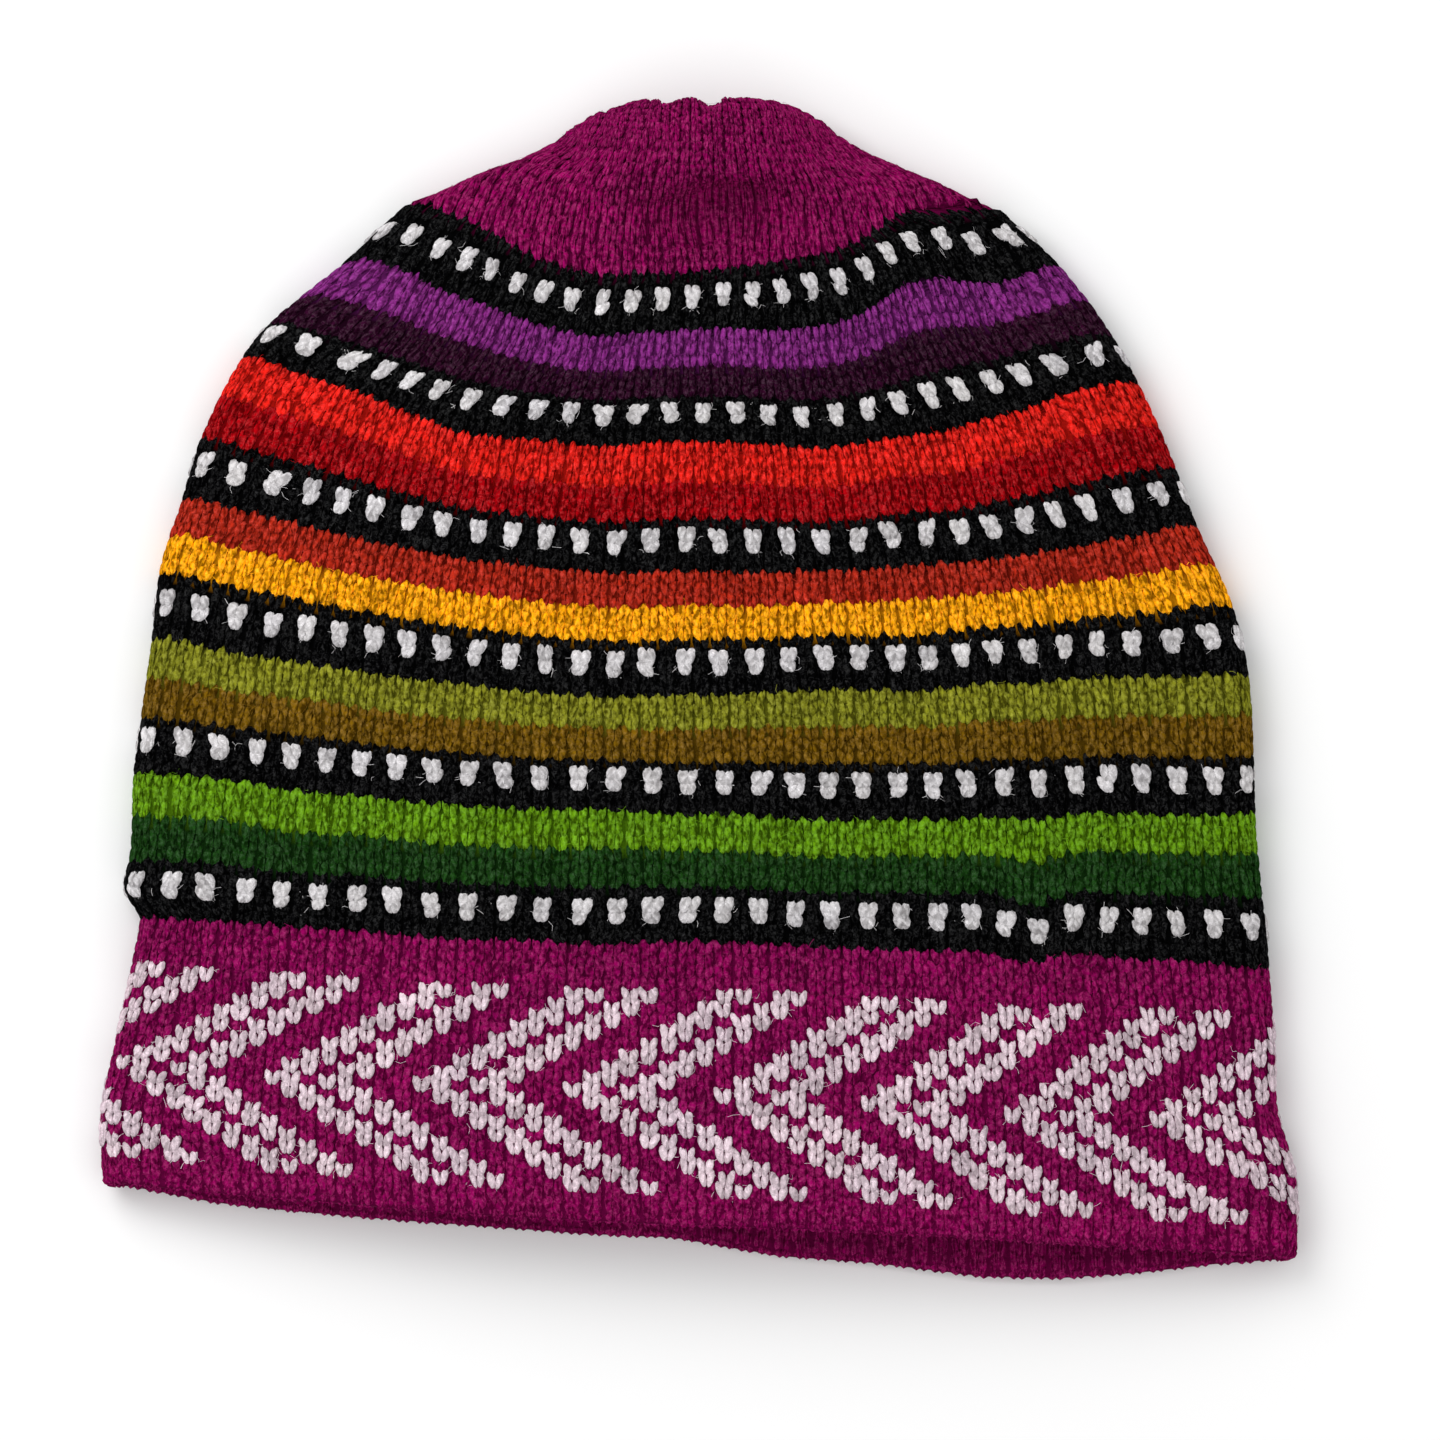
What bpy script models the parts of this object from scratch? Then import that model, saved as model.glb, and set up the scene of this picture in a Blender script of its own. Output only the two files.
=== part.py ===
# A knitted beanie lying flat: a gathered crown, a striped body and a turned, doubled brim.
#
# The hat rests on its rear layer on the plane Z = 0. +X runs across the hat, +Y from the mouth
# to the crown and +Z up through the front layer. All lengths are in metres.
#
# The whole hat is one soft tube. A place on it has two numbers: around, from 0 at the left
# side fold over the front (0.5 at the right fold) and back behind; and along, from 0 at the
# hem to 1 at the first stripe, 2 at the foot of the crown and 3 in the pinch of the gathers.

import math
from collections import namedtuple

import bmesh
import bpy
import numpy as np

# Widths of the hat as it lies flat
BRIM_WIDTH = 0.2508
BODY_WIDTH = 0.2350
CROWN_WIDTH = 0.1260

# Heights along the middle of the front layer
BRIM_HEIGHT = 0.0600
BODY_HEIGHT = 0.1415
CROWN_HEIGHT = 0.0343

# Walls: the body is one layer of knitting, the brim is two layers with a fold at the hem
BODY_WALL = 0.0026
CROWN_WALL = 0.0026
BRIM_WALL = 0.0050

# Open height inside the lying hat, under the middle of the front layer
BRIM_HOLLOW = 0.0140
BODY_HOLLOW = 0.0220
CROWN_HOLLOW = 0.0255

# Inner radius of the side folds within the brim, and the rise of the stripes at the folds
FOLD_ROOM = 0.0010
EDGE_RISE = 0.0160

# The rear hem shows below the front hem by up to this much
REAR_DROP = 0.0085

# Gathers of the crown
PLEATS = 20
PLEAT_DEPTH = 0.0014

# Gap kept between neighbouring pieces
PIECE_GAP = 0.0003

# Sizes that follow from those above
FOLD_RADIUS = BRIM_WALL + FOLD_ROOM
BRIM_LOFT = BRIM_HOLLOW + 2 * BRIM_WALL
BODY_LOFT = BODY_HOLLOW + 2 * BODY_WALL
CROWN_LOFT = CROWN_HOLLOW + 2 * CROWN_WALL

# Shares of shape that have no unit
BULGE_POWER = 2.3
RISE_POWER = 2.2
LEAN_POWER = 1.3
SMALL_STEP = 0.004
CLOSING_SHARE = 0.4

# Points around each ring, drawn closer together at the side folds
AROUND_POINTS = 96
FOLD_CROWDING = 0.45

# A section row. along and up are shares of the zone's height. left and right are the half
# widths: in the brim from 0, the body's width, to 1, the brim's; in the body from 0, the
# crown's width, to 1, the body's; in the crown a share of the crown's width. left_rise and
# right_rise are shares of EDGE_RISE, loft and lift shares of the zone's loft, and fold is a
# share of FOLD_RADIUS.
Section = namedtuple("Section", "along up left right left_rise right_rise loft lift fold")

BRIM_SECTIONS = (
    Section(0.00, 0.00, 0.96, 1.00, 0.52, -0.42, 0.96, 0.00, 1.00),
    Section(0.25, 0.25, 0.98, 0.98, 0.45, -0.40, 1.00, 0.00, 1.00),
    Section(0.50, 0.50, 0.64, 0.49, 0.39, -0.38, 1.00, 0.00, 1.00),
    Section(0.75, 0.75, 0.26, 0.42, 0.33, -0.37, 0.97, 0.00, 1.00),
)

BODY_SECTIONS = (
    Section(0.00, 0.00, 0.97, 1.04, 0.28, -0.35, 0.86, 0.00, 1.00),
    Section(0.04, 0.04, 1.05, 1.03, 0.27, -0.26, 0.88, 0.00, 1.00),
    Section(0.10, 0.10, 1.03, 1.01, 0.30, -0.18, 0.93, 0.00, 1.00),
    Section(0.18, 0.19, 1.02, 0.99, 0.42, -0.12, 1.00, 0.00, 1.00),
    Section(0.27, 0.27, 0.99, 0.98, 0.50, -0.02, 1.02, 0.00, 1.00),
    Section(0.37, 0.37, 0.95, 0.96, 0.67, 0.20, 1.02, 0.00, 1.00),
    Section(0.45, 0.45, 0.92, 0.90, 0.82, 0.38, 1.02, 0.00, 1.00),
    Section(0.55, 0.55, 0.83, 0.76, 0.91, 0.55, 1.04, 0.00, 1.00),
    Section(0.63, 0.63, 0.76, 0.68, 0.97, 0.60, 1.05, 0.00, 1.00),
    Section(0.73, 0.74, 0.61, 0.55, 1.00, 0.66, 1.06, 0.00, 1.00),
    Section(0.82, 0.81, 0.47, 0.42, 0.96, 0.82, 1.04, 0.00, 1.00),
    Section(0.92, 0.91, 0.20, 0.22, 0.84, 0.82, 0.97, 0.00, 1.00),
)

CROWN_SECTIONS = (
    Section(0.00, 0.00, 0.97, 1.00, 0.79, 0.72, 0.78, 0.00, 1.00),
    Section(0.17, 0.27, 0.74, 0.80, 0.59, 0.48, 0.84, 0.00, 1.00),
    Section(0.35, 0.53, 0.52, 0.62, 0.37, 0.22, 0.98, 0.00, 1.00),
    Section(0.52, 0.75, 0.37, 0.47, 0.25, 0.02, 0.94, 0.02, 1.00),
    Section(0.70, 0.92, 0.25, 0.36, 0.08, 0.00, 0.74, 0.08, 1.00),
    Section(0.83, 1.00, 0.17, 0.22, 0.00, 0.00, 0.48, 0.22, 0.90),
    Section(0.92, 0.97, 0.11, 0.08, 0.00, 0.00, 0.26, 0.32, 0.65),
    Section(1.00, 0.90, 0.06, 0.02, 0.00, 0.00, 0.12, 0.39, 0.28),
)

# How far the rear hem hangs below the front one: across runs from -1, the left fold, to 1,
# and drop is a share of REAR_DROP. The drop fades out over fade, a share of the brim.
HemDrop = namedtuple("HemDrop", "across drop")
REAR_HEM = (
    HemDrop(-1.00, 0.10),
    HemDrop(-0.85, 0.28),
    HemDrop(-0.50, 0.36),
    HemDrop(-0.05, 0.38),
    HemDrop(0.06, 0.62),
    HemDrop(0.14, 0.76),
    HemDrop(0.30, 0.80),
    HemDrop(0.50, 1.00),
    HemDrop(0.64, 0.92),
    HemDrop(0.77, 0.66),
    HemDrop(0.90, 0.32),
    HemDrop(1.00, 0.12),
)
REAR_FADE = 0.55

# Dents and swells of the front layer. across is a share of the half width, along a place on
# the hat, wide a share of BODY_WIDTH, tall a share of one zone, depth a share of BODY_LOFT.
Dent = namedtuple("Dent", "name across along wide tall depth")
DENTS = (
    Dent("hollow under the gathers", 0.08, 2.13, 0.075, 0.13, 0.20),
    Dent("swell of the gathers", 0.00, 2.50, 0.080, 0.20, -0.05),
    Dent("fold beside the left stripes", -0.42, 1.92, 0.030, 0.09, 0.08),
    Dent("side crease, low", 0.67, 1.20, 0.014, 0.16, 0.07),
    Dent("side crease, high", 0.93, 1.97, 0.020, 0.10, 0.10),
    Dent("swell above the brim, left", -0.40, 1.20, 0.140, 0.22, -0.05),
    Dent("dip in the middle stripes", 0.15, 1.60, 0.160, 0.14, 0.05),
    Dent("dip where the brim bends", 0.80, 0.50, 0.050, 0.20, 0.06),
)

# Notches between the lobes of the top edge. across and wide are shares of CROWN_WIDTH, and
# depth is a share of CROWN_HEIGHT.
Notch = namedtuple("Notch", "across wide depth")
NOTCHES = (
    Notch(-0.049, 0.011, 0.045),
    Notch(0.020, 0.013, 0.050),
)
NOTCH_ALONG = 2.84
NOTCH_TALL = 0.09

# Where rings are laid, as shares of each zone
BRIM_RINGS = (0.00, 0.22, 0.48, 0.74, 1.00)
BODY_RINGS = (0.00, 0.04, 0.10, 0.18, 0.28, 0.39, 0.50, 0.61, 0.72, 0.82, 0.91, 1.00)
CROWN_RINGS = (0.00, 0.10, 0.20, 0.32, 0.45, 0.58, 0.70, 0.79, 0.86, 0.92, 1.00)
HEM_TURN = (math.pi * 0.75, math.pi * 0.5, math.pi * 0.25)


def clear_scene():
    """Remove whatever the file holds."""
    for item in list(bpy.data.objects):
        bpy.data.objects.remove(item, do_unlink=True)


def brim_row(row):
    """A brim section in metres."""
    flare = (BRIM_WIDTH - BODY_WIDTH) / 2
    first = BRIM_WALL / 2
    return (row.along, first + row.up * (BRIM_HEIGHT - first),
            BODY_WIDTH / 2 + row.left * flare, BODY_WIDTH / 2 + row.right * flare,
            row.left_rise * EDGE_RISE, row.right_rise * EDGE_RISE,
            row.loft * BRIM_LOFT, row.lift * BRIM_LOFT, row.fold * FOLD_RADIUS)


def body_row(row):
    """A section of the striped body in metres."""
    spread = (BODY_WIDTH - CROWN_WIDTH) / 2
    return (1 + row.along, BRIM_HEIGHT + row.up * BODY_HEIGHT,
            CROWN_WIDTH / 2 + row.left * spread, CROWN_WIDTH / 2 + row.right * spread,
            row.left_rise * EDGE_RISE, row.right_rise * EDGE_RISE,
            row.loft * BODY_LOFT, row.lift * BODY_LOFT, row.fold * FOLD_RADIUS)


def crown_row(row):
    """A crown section in metres."""
    return (2 + row.along, BRIM_HEIGHT + BODY_HEIGHT + row.up * CROWN_HEIGHT,
            row.left * CROWN_WIDTH / 2, row.right * CROWN_WIDTH / 2,
            row.left_rise * EDGE_RISE, row.right_rise * EDGE_RISE,
            row.loft * CROWN_LOFT, row.lift * CROWN_LOFT, row.fold * FOLD_RADIUS)


ROWS = np.array([brim_row(row) for row in BRIM_SECTIONS]
                + [body_row(row) for row in BODY_SECTIONS]
                + [crown_row(row) for row in CROWN_SECTIONS])
KNOTS = ROWS[:, 0]
SLOPES = np.gradient(ROWS, KNOTS, axis=0)
LAST_ALONG = KNOTS[-1]


def section_at(along):
    """The section row at a place along the hat, on a smooth curve through the tables.

    The cloth never dips below the surface it lies on.
    """
    index = int(np.clip(np.searchsorted(KNOTS, along, side="right") - 1, 0, len(KNOTS) - 2))
    span = KNOTS[index + 1] - KNOTS[index]
    q = (along - KNOTS[index]) / span
    start = ROWS[index] * (1 + 2 * q) * (1 - q) ** 2 + SLOPES[index] * span * q * (1 - q) ** 2
    end = ROWS[index + 1] * q * q * (3 - 2 * q) + SLOPES[index + 1] * span * q * q * (q - 1)
    section = Section(*(start + end))
    return section._replace(lift=max(section.lift, 0.0))


def bump(distance):
    """A smooth hump that is 1 at distance 0 and falls away past 1."""
    return np.exp(-distance ** 2)


def arc(start, end, steps):
    """Unit normals turning from one angle to another."""
    angles = np.linspace(start, end, steps)
    return np.column_stack((np.cos(angles), np.sin(angles)))


def half_outline(section, core, normals, around):
    """Spread places evenly by length over half of a section, from one fold to the other."""
    outer = core + normals * section.fold
    steps = np.hypot(*np.diff(outer, axis=0).T)
    length = np.concatenate(([0.0], np.cumsum(steps)))
    length /= length[-1]
    places = [np.interp(around, length, column) for column in (*core.T, *normals.T)]
    return np.column_stack(places)


def outline(section, around):
    """Core points and outward normals, in X and Z, of a flat-lying section.

    The core is a thin lens with a flat underside. The wall's outer face lies one fold radius
    outside the core.
    """
    centre = (section.right - section.left) / 2
    reach = (section.right + section.left) / 2
    fold = min(section.fold, section.loft * 0.48, reach * 0.9)
    reach -= fold
    swell = section.loft - 2 * fold
    q = np.sin(np.linspace(-math.pi / 2, math.pi / 2, 61))
    top = np.column_stack((centre + reach * q, swell * (1 - np.abs(q) ** BULGE_POWER)))
    slope = -swell * BULGE_POWER * np.abs(q) ** (BULGE_POWER - 1) * np.sign(q) / reach
    top_normals = np.column_stack((-slope, np.ones_like(q)))
    top_normals /= np.linalg.norm(top_normals, axis=1)[:, None]
    tilt = math.atan(slope[0])
    under = np.column_stack((centre + reach * q[::-1], np.zeros_like(q)))
    under_normals = np.tile((0.0, -1.0), (len(q), 1))
    corner = np.ones((12, 1))
    section = section._replace(fold=fold)
    front_core = np.vstack((corner * top[0], top, corner * top[-1]))
    front_normals = np.vstack((arc(math.pi, math.pi / 2 + tilt, 12), top_normals,
                               arc(math.pi / 2 - tilt, 0.0, 12)))
    rear_core = np.vstack((corner * under[0], under, corner * under[-1]))
    rear_normals = np.vstack((arc(0.0, -math.pi / 2, 12), under_normals,
                              arc(-math.pi / 2, -math.pi, 12)))
    around = np.mod(around, 1.0)
    front = half_outline(section, front_core, front_normals, around * 2)
    rear = half_outline(section, rear_core, rear_normals, around * 2 - 1)
    both = np.where((around < 0.5)[:, None], front, rear)
    across = np.clip((both[:, 0] - centre) / max(reach, 1e-6), -1.0, 1.0)
    both[:, 1] += section.lift + fold
    return both[:, :2], both[:, 2:], across, fold


def dent_depth(across, along, normals):
    """How far the front layer is pushed in at each place of a ring."""
    section = section_at(along)
    x = across * (section.left + section.right) / 2
    total = np.zeros_like(x)
    for dent in DENTS:
        middle = dent.across * (section.left + section.right) / 2
        sideways = (x - middle) / (dent.wide * BODY_WIDTH)
        lengthways = (along - dent.along) / dent.tall
        total += dent.depth * BODY_LOFT * bump(sideways) * bump(lengthways)
    return total * np.clip(normals[:, 1], 0.0, 1.0)


def notch_depth(x, along):
    """How far the top edge is drawn down between its lobes."""
    total = np.zeros_like(x)
    for notch in NOTCHES:
        sideways = (x - notch.across * CROWN_WIDTH) / (notch.wide * CROWN_WIDTH)
        total += notch.depth * CROWN_HEIGHT * bump(sideways)
    return total * bump((along - NOTCH_ALONG) / NOTCH_TALL)


def face(around, along):
    """Points of the smooth outer face without its pleats, and the section's own normals."""
    along = min(max(along, 0.0), LAST_ALONG)
    section = section_at(along)
    core, normals, across, fold = outline(section, around)
    push = dent_depth(across, along, normals)
    flat = core + normals * fold
    flat[:, 1] -= push
    sag = (section.left_rise + section.right_rise) / 2
    lean = (section.right_rise - section.left_rise) / 2
    up = section.up + sag * np.abs(across) ** RISE_POWER
    up += lean * np.sign(across) * np.abs(across) ** LEAN_POWER
    rear = (1 - normals[:, 1]) / 2
    table = np.array(REAR_HEM)
    drop = np.interp(across, table[:, 0], table[:, 1]) * REAR_DROP
    up -= drop * rear * max(0.0, 1 - along / REAR_FADE) ** 2
    up -= notch_depth(flat[:, 0], along)
    points = np.column_stack((flat[:, 0], up, flat[:, 1]))
    return points, np.column_stack((normals[:, 0], np.zeros_like(up), normals[:, 1]))


def surface(around, along):
    """Points of the smooth outer face alone."""
    return face(around, along)[0]


def unit(vectors):
    """The same directions with length 1."""
    return vectors / np.linalg.norm(vectors, axis=1)[:, None]


def directions(around, along):
    """Unit outward directions for the wall, and unit directions towards the crown.

    Where pieces meet, the wall is measured within the section, so that their ends match. It
    turns to the true normal as the crown closes.
    """
    sideways = surface(around + SMALL_STEP, along) - surface(around - SMALL_STEP, along)
    onward = surface(around, along + SMALL_STEP) - surface(around, along - SMALL_STEP)
    closing = min(max((along - 2) / CLOSING_SHARE, 0.0), 1.0)
    true_normals = unit(np.cross(sideways, onward))
    return unit(face(around, along)[1] * (1 - closing) + true_normals * closing), unit(onward)


def pleat_height(around, along):
    """How far the gathers stand out, growing from the foot of the crown to its top edge."""
    grow = np.clip((along - 2.05) / 0.55, 0.0, 1.0)
    close = np.clip((LAST_ALONG - along) / 0.16, 0.0, 1.0)
    return PLEAT_DEPTH * grow * close * np.cos(2 * math.pi * PLEATS * around)


def ring_places():
    """Places around a ring, closer together at the two side folds."""
    even = np.arange(AROUND_POINTS) / AROUND_POINTS
    return even - FOLD_CROWDING * np.sin(4 * math.pi * even) / (4 * math.pi)


AROUND = ring_places()


def ring(along, depth, pleat_share=0.0, nudge=0.0):
    """One ring of points, depth below the outer face, with a share of the pleats.

    nudge moves the ring towards the crown. Pleats that meet the surface below are flattened.
    """
    normals, _ = directions(AROUND, along)
    lift = pleat_height(AROUND, along) * pleat_share - depth
    points = surface(AROUND, along) + normals * lift[:, None] + np.array((0.0, nudge, 0.0))
    points[:, 2] = np.maximum(points[:, 2], 0.0)
    return points


def zone_rings(zone, shares, depth, pleat_share=0.0, closed_end=False):
    """Rings of one face of a piece, which keeps half a gap to its neighbour at each joint."""
    rings = []
    for share in shares:
        nudge = 0.0
        if share == 0.0 and zone > 0:
            nudge = PIECE_GAP / 2
        elif share == 1.0 and not closed_end:
            nudge = -PIECE_GAP / 2
        rings.append(ring(zone + share, depth, pleat_share, nudge))
    return rings


def hem_ring(turn):
    """A ring of the rounded hem: turn runs from 0 on the outer face to pi on the inner."""
    normals, onward = directions(AROUND, 0.0)
    radius = BRIM_WALL / 2
    return (surface(AROUND, 0.0) - normals * radius * (1 - math.cos(turn))
            - onward * radius * math.sin(turn))


def brim_rings():
    """Rings of the doubled brim, from its outer face over the top to the folded hem."""
    outer = zone_rings(0, BRIM_RINGS, 0.0)
    inner = zone_rings(0, BRIM_RINGS[::-1], BRIM_WALL)
    return outer + inner + [hem_ring(turn) for turn in HEM_TURN]


def body_rings():
    """Rings of the striped tube: the outer face upwards, then the inner face downwards."""
    return zone_rings(1, BODY_RINGS, 0.0) + zone_rings(1, BODY_RINGS[::-1], BODY_WALL)


def crown_rings():
    """Rings of the crown: the inner face down from the pinch, then the outer face up to it."""
    inner = zone_rings(2, CROWN_RINGS[::-1], CROWN_WALL, pleat_share=0.5, closed_end=True)
    return inner + zone_rings(2, CROWN_RINGS, 0.0, pleat_share=1.0, closed_end=True)


def add_strip(mesh, lower, upper):
    """Join two rings of vertices with a band of faces."""
    count = len(lower)
    for index in range(count):
        after = (index + 1) % count
        mesh.faces.new((lower[index], lower[after], upper[after], upper[index]))


def add_cap(mesh, rim):
    """Close a ring of vertices with a fan to its middle."""
    middle = sum((vertex.co for vertex in rim[1:]), rim[0].co.copy()) / len(rim)
    centre = mesh.verts.new(middle)
    for index, vertex in enumerate(rim):
        mesh.faces.new((vertex, rim[(index + 1) % len(rim)], centre))


def knit_solid(name, rings, closed, shift, material):
    """Turn rings of points into one closed body."""
    mesh = bmesh.new()
    loops = [[mesh.verts.new(point) for point in points - shift] for points in rings]
    for lower, upper in zip(loops, loops[1:]):
        add_strip(mesh, lower, upper)
    if closed:
        add_strip(mesh, loops[-1], loops[0])
    else:
        add_cap(mesh, loops[0])
        add_cap(mesh, loops[-1])
    bmesh.ops.recalc_face_normals(mesh, faces=mesh.faces)
    data = bpy.data.meshes.new(name)
    mesh.to_mesh(data)
    mesh.free()
    data.shade_smooth()
    data.materials.append(material)
    piece = bpy.data.objects.new(name, data)
    bpy.context.scene.collection.objects.link(piece)
    return piece


def yarn(name, colour):
    """A matt wool material."""
    material = bpy.data.materials.new(name)
    material.use_nodes = True
    shader = material.node_tree.nodes["Principled BSDF"]
    shader.inputs["Base Color"].default_value = (*colour, 1.0)
    shader.inputs["Roughness"].default_value = 0.9
    shader.inputs["Metallic"].default_value = 0.0
    return material


def middle_of(all_rings):
    """The point under the middle of the whole hat, which becomes the origin."""
    points = np.vstack([points for rings in all_rings for points in rings])
    low = points.min(axis=0)
    high = points.max(axis=0)
    return np.array(((low[0] + high[0]) / 2, (low[1] + high[1]) / 2, low[2]))


def build():
    """Model the three pieces."""
    clear_scene()
    brim = brim_rings()
    body = body_rings()
    crown = crown_rings()
    shift = middle_of((brim, body, crown))
    magenta = yarn("magenta_wool", (0.20, 0.003, 0.08))
    striped = yarn("striped_wool", (0.16, 0.07, 0.03))
    knit_solid("brim", brim, True, shift, magenta)
    knit_solid("striped_body", body, True, shift, striped)
    knit_solid("crown", crown, False, shift, magenta)


build()
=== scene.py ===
# %% [markdown]
# # A knitted beanie, one stitch at a time
#
# The hat lies flat, seen from above. It is plain knitting: columns of V-shaped stitches, called
# wales, in rows called courses. The stripes, dots and chevrons aren't printed on. Each stitch is
# simply knitted in one yarn or another. This lesson builds the hat the same way: a smooth cloth
# tube, a colour chart, and a small V of yarn for every stitch of the chart.

import math
from collections import namedtuple

import bpy
import numpy as np
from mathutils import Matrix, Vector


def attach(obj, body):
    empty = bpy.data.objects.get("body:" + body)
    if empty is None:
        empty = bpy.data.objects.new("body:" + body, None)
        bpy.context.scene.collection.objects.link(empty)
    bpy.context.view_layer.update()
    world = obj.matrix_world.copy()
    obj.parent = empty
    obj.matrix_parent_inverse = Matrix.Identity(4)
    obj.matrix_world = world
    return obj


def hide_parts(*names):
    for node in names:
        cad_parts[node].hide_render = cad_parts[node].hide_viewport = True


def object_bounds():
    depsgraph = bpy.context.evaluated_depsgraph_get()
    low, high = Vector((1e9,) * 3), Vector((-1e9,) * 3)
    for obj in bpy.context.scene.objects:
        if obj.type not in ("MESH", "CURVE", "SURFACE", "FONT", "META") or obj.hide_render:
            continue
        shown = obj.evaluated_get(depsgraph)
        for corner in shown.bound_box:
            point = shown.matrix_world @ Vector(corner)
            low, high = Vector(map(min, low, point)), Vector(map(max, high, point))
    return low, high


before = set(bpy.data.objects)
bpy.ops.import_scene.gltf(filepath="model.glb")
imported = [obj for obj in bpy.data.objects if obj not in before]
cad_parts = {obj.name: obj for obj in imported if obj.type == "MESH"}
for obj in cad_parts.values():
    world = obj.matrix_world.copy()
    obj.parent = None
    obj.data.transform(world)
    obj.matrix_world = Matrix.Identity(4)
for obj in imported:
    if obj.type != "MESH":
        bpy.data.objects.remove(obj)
CAD_BOX = [[float(value) for value in corner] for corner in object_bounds()]
MM = 0.001
print("the packed hat spans", CAD_BOX)

# %% [markdown]
# ## The shape of the lying hat
#
# A lying hat is a soft, flattened tube. It could be sculpted or simulated, but its outline was
# measured, so a table of sections is more exact: how wide and how thick the tube is at each
# height. A place on the tube has two numbers: around, from the left side fold (0) over the front
# to the right fold (0.5) and back behind, and along, from the hem (0) over the first stripe (1)
# and the foot of the crown (2) to the gathered top (3).

# %% Sizes in metres, the same as in the part's source
BRIM_WIDTH = 0.2508
BODY_WIDTH = 0.2350
CROWN_WIDTH = 0.1260
BRIM_HEIGHT = 0.0600
BODY_HEIGHT = 0.1415
CROWN_HEIGHT = 0.0343
BODY_WALL = 0.0026
CROWN_WALL = 0.0026
BRIM_WALL = 0.0050
BRIM_HOLLOW = 0.0140
BODY_HOLLOW = 0.0220
CROWN_HOLLOW = 0.0255
FOLD_ROOM = 0.0010
EDGE_RISE = 0.0160
REAR_DROP = 0.0085

FOLD_RADIUS = BRIM_WALL + FOLD_ROOM
BRIM_LOFT = BRIM_HOLLOW + 2 * BRIM_WALL
BODY_LOFT = BODY_HOLLOW + 2 * BODY_WALL
CROWN_LOFT = CROWN_HOLLOW + 2 * CROWN_WALL
BULGE_POWER = 2.3
RISE_POWER = 2.2
LEAN_POWER = 1.3

# %% Sections: along and up are shares of a zone, the rest shares of its sizes
Section = namedtuple("Section", "along up left right left_rise right_rise loft lift fold",
                     defaults=(0.0, 1.0))

BRIM_SECTIONS = (
    Section(0.00, 0.00, 0.96, 1.00, 0.52, -0.42, 0.96),
    Section(0.25, 0.25, 0.98, 0.98, 0.45, -0.40, 1.00),
    Section(0.50, 0.50, 0.64, 0.49, 0.39, -0.38, 1.00),
    Section(0.75, 0.75, 0.26, 0.42, 0.33, -0.37, 0.97),
)
BODY_SECTIONS = (
    Section(0.00, 0.00, 0.99, 1.04, 0.28, -0.35, 0.86),
    Section(0.04, 0.04, 1.05, 1.03, 0.27, -0.26, 0.88),
    Section(0.10, 0.10, 1.03, 1.01, 0.30, -0.18, 0.93),
    Section(0.18, 0.19, 1.02, 0.99, 0.42, -0.12, 1.00),
    Section(0.27, 0.27, 0.99, 0.98, 0.50, -0.02, 1.02),
    Section(0.37, 0.37, 0.95, 0.96, 0.67, 0.20, 1.02),
    Section(0.45, 0.45, 0.92, 0.90, 0.82, 0.38, 1.02),
    Section(0.55, 0.55, 0.83, 0.76, 0.91, 0.55, 1.04),
    Section(0.63, 0.63, 0.76, 0.68, 0.97, 0.60, 1.05),
    Section(0.73, 0.74, 0.61, 0.55, 1.00, 0.66, 1.06),
    Section(0.82, 0.81, 0.47, 0.42, 0.96, 0.82, 1.04),
    Section(0.92, 0.91, 0.20, 0.22, 0.84, 0.82, 0.97),
)
CROWN_SECTIONS = (
    Section(0.00, 0.00, 0.97, 1.00, 0.79, 0.72, 0.78),
    Section(0.17, 0.27, 0.74, 0.80, 0.59, 0.48, 0.84),
    Section(0.35, 0.53, 0.53, 0.62, 0.37, 0.22, 0.98),
    Section(0.52, 0.75, 0.41, 0.49, 0.25, 0.02, 0.94, 0.02, 1.00),
    Section(0.70, 0.92, 0.29, 0.37, 0.08, 0.00, 0.74, 0.08, 1.00),
    Section(0.83, 1.00, 0.17, 0.22, 0.00, 0.00, 0.48, 0.22, 0.90),
    Section(0.92, 0.97, 0.11, 0.08, 0.00, 0.00, 0.26, 0.32, 0.65),
    Section(1.00, 0.90, 0.06, 0.02, 0.00, 0.00, 0.12, 0.39, 0.28),
)

HemDrop = namedtuple("HemDrop", "across drop")
REAR_HEM = HemDrop(
    across=(-1.00, -0.85, -0.50, -0.05, 0.06, 0.14, 0.30, 0.50, 0.64, 0.77, 0.90, 1.00),
    drop=(0.10, 0.28, 0.36, 0.38, 0.62, 0.76, 0.80, 1.00, 0.92, 0.66, 0.32, 0.12))
REAR_FADE = 0.55

Dent = namedtuple("Dent", "name across along wide tall depth")
DENTS = (
    Dent("hollow under the gathers", 0.08, 2.13, 0.075, 0.13, 0.20),
    Dent("swell of the gathers", 0.00, 2.50, 0.080, 0.20, -0.05),
    Dent("fold beside the left stripes", -0.42, 1.92, 0.030, 0.09, 0.08),
    Dent("side crease, low", 0.67, 1.20, 0.014, 0.16, 0.07),
    Dent("side crease, high", 0.93, 1.97, 0.020, 0.10, 0.10),
    Dent("swell above the brim, left", -0.40, 1.20, 0.140, 0.22, -0.05),
    Dent("dip in the middle stripes", 0.15, 1.60, 0.160, 0.14, 0.05),
    Dent("dip where the brim bends", 0.80, 0.50, 0.050, 0.20, 0.06),
)
Notch = namedtuple("Notch", "across wide depth")
NOTCHES = (
    Notch(-0.049, 0.011, 0.045),
    Notch(0.020, 0.013, 0.050),
)
NOTCH_ALONG = 2.84
NOTCH_TALL = 0.09


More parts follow.
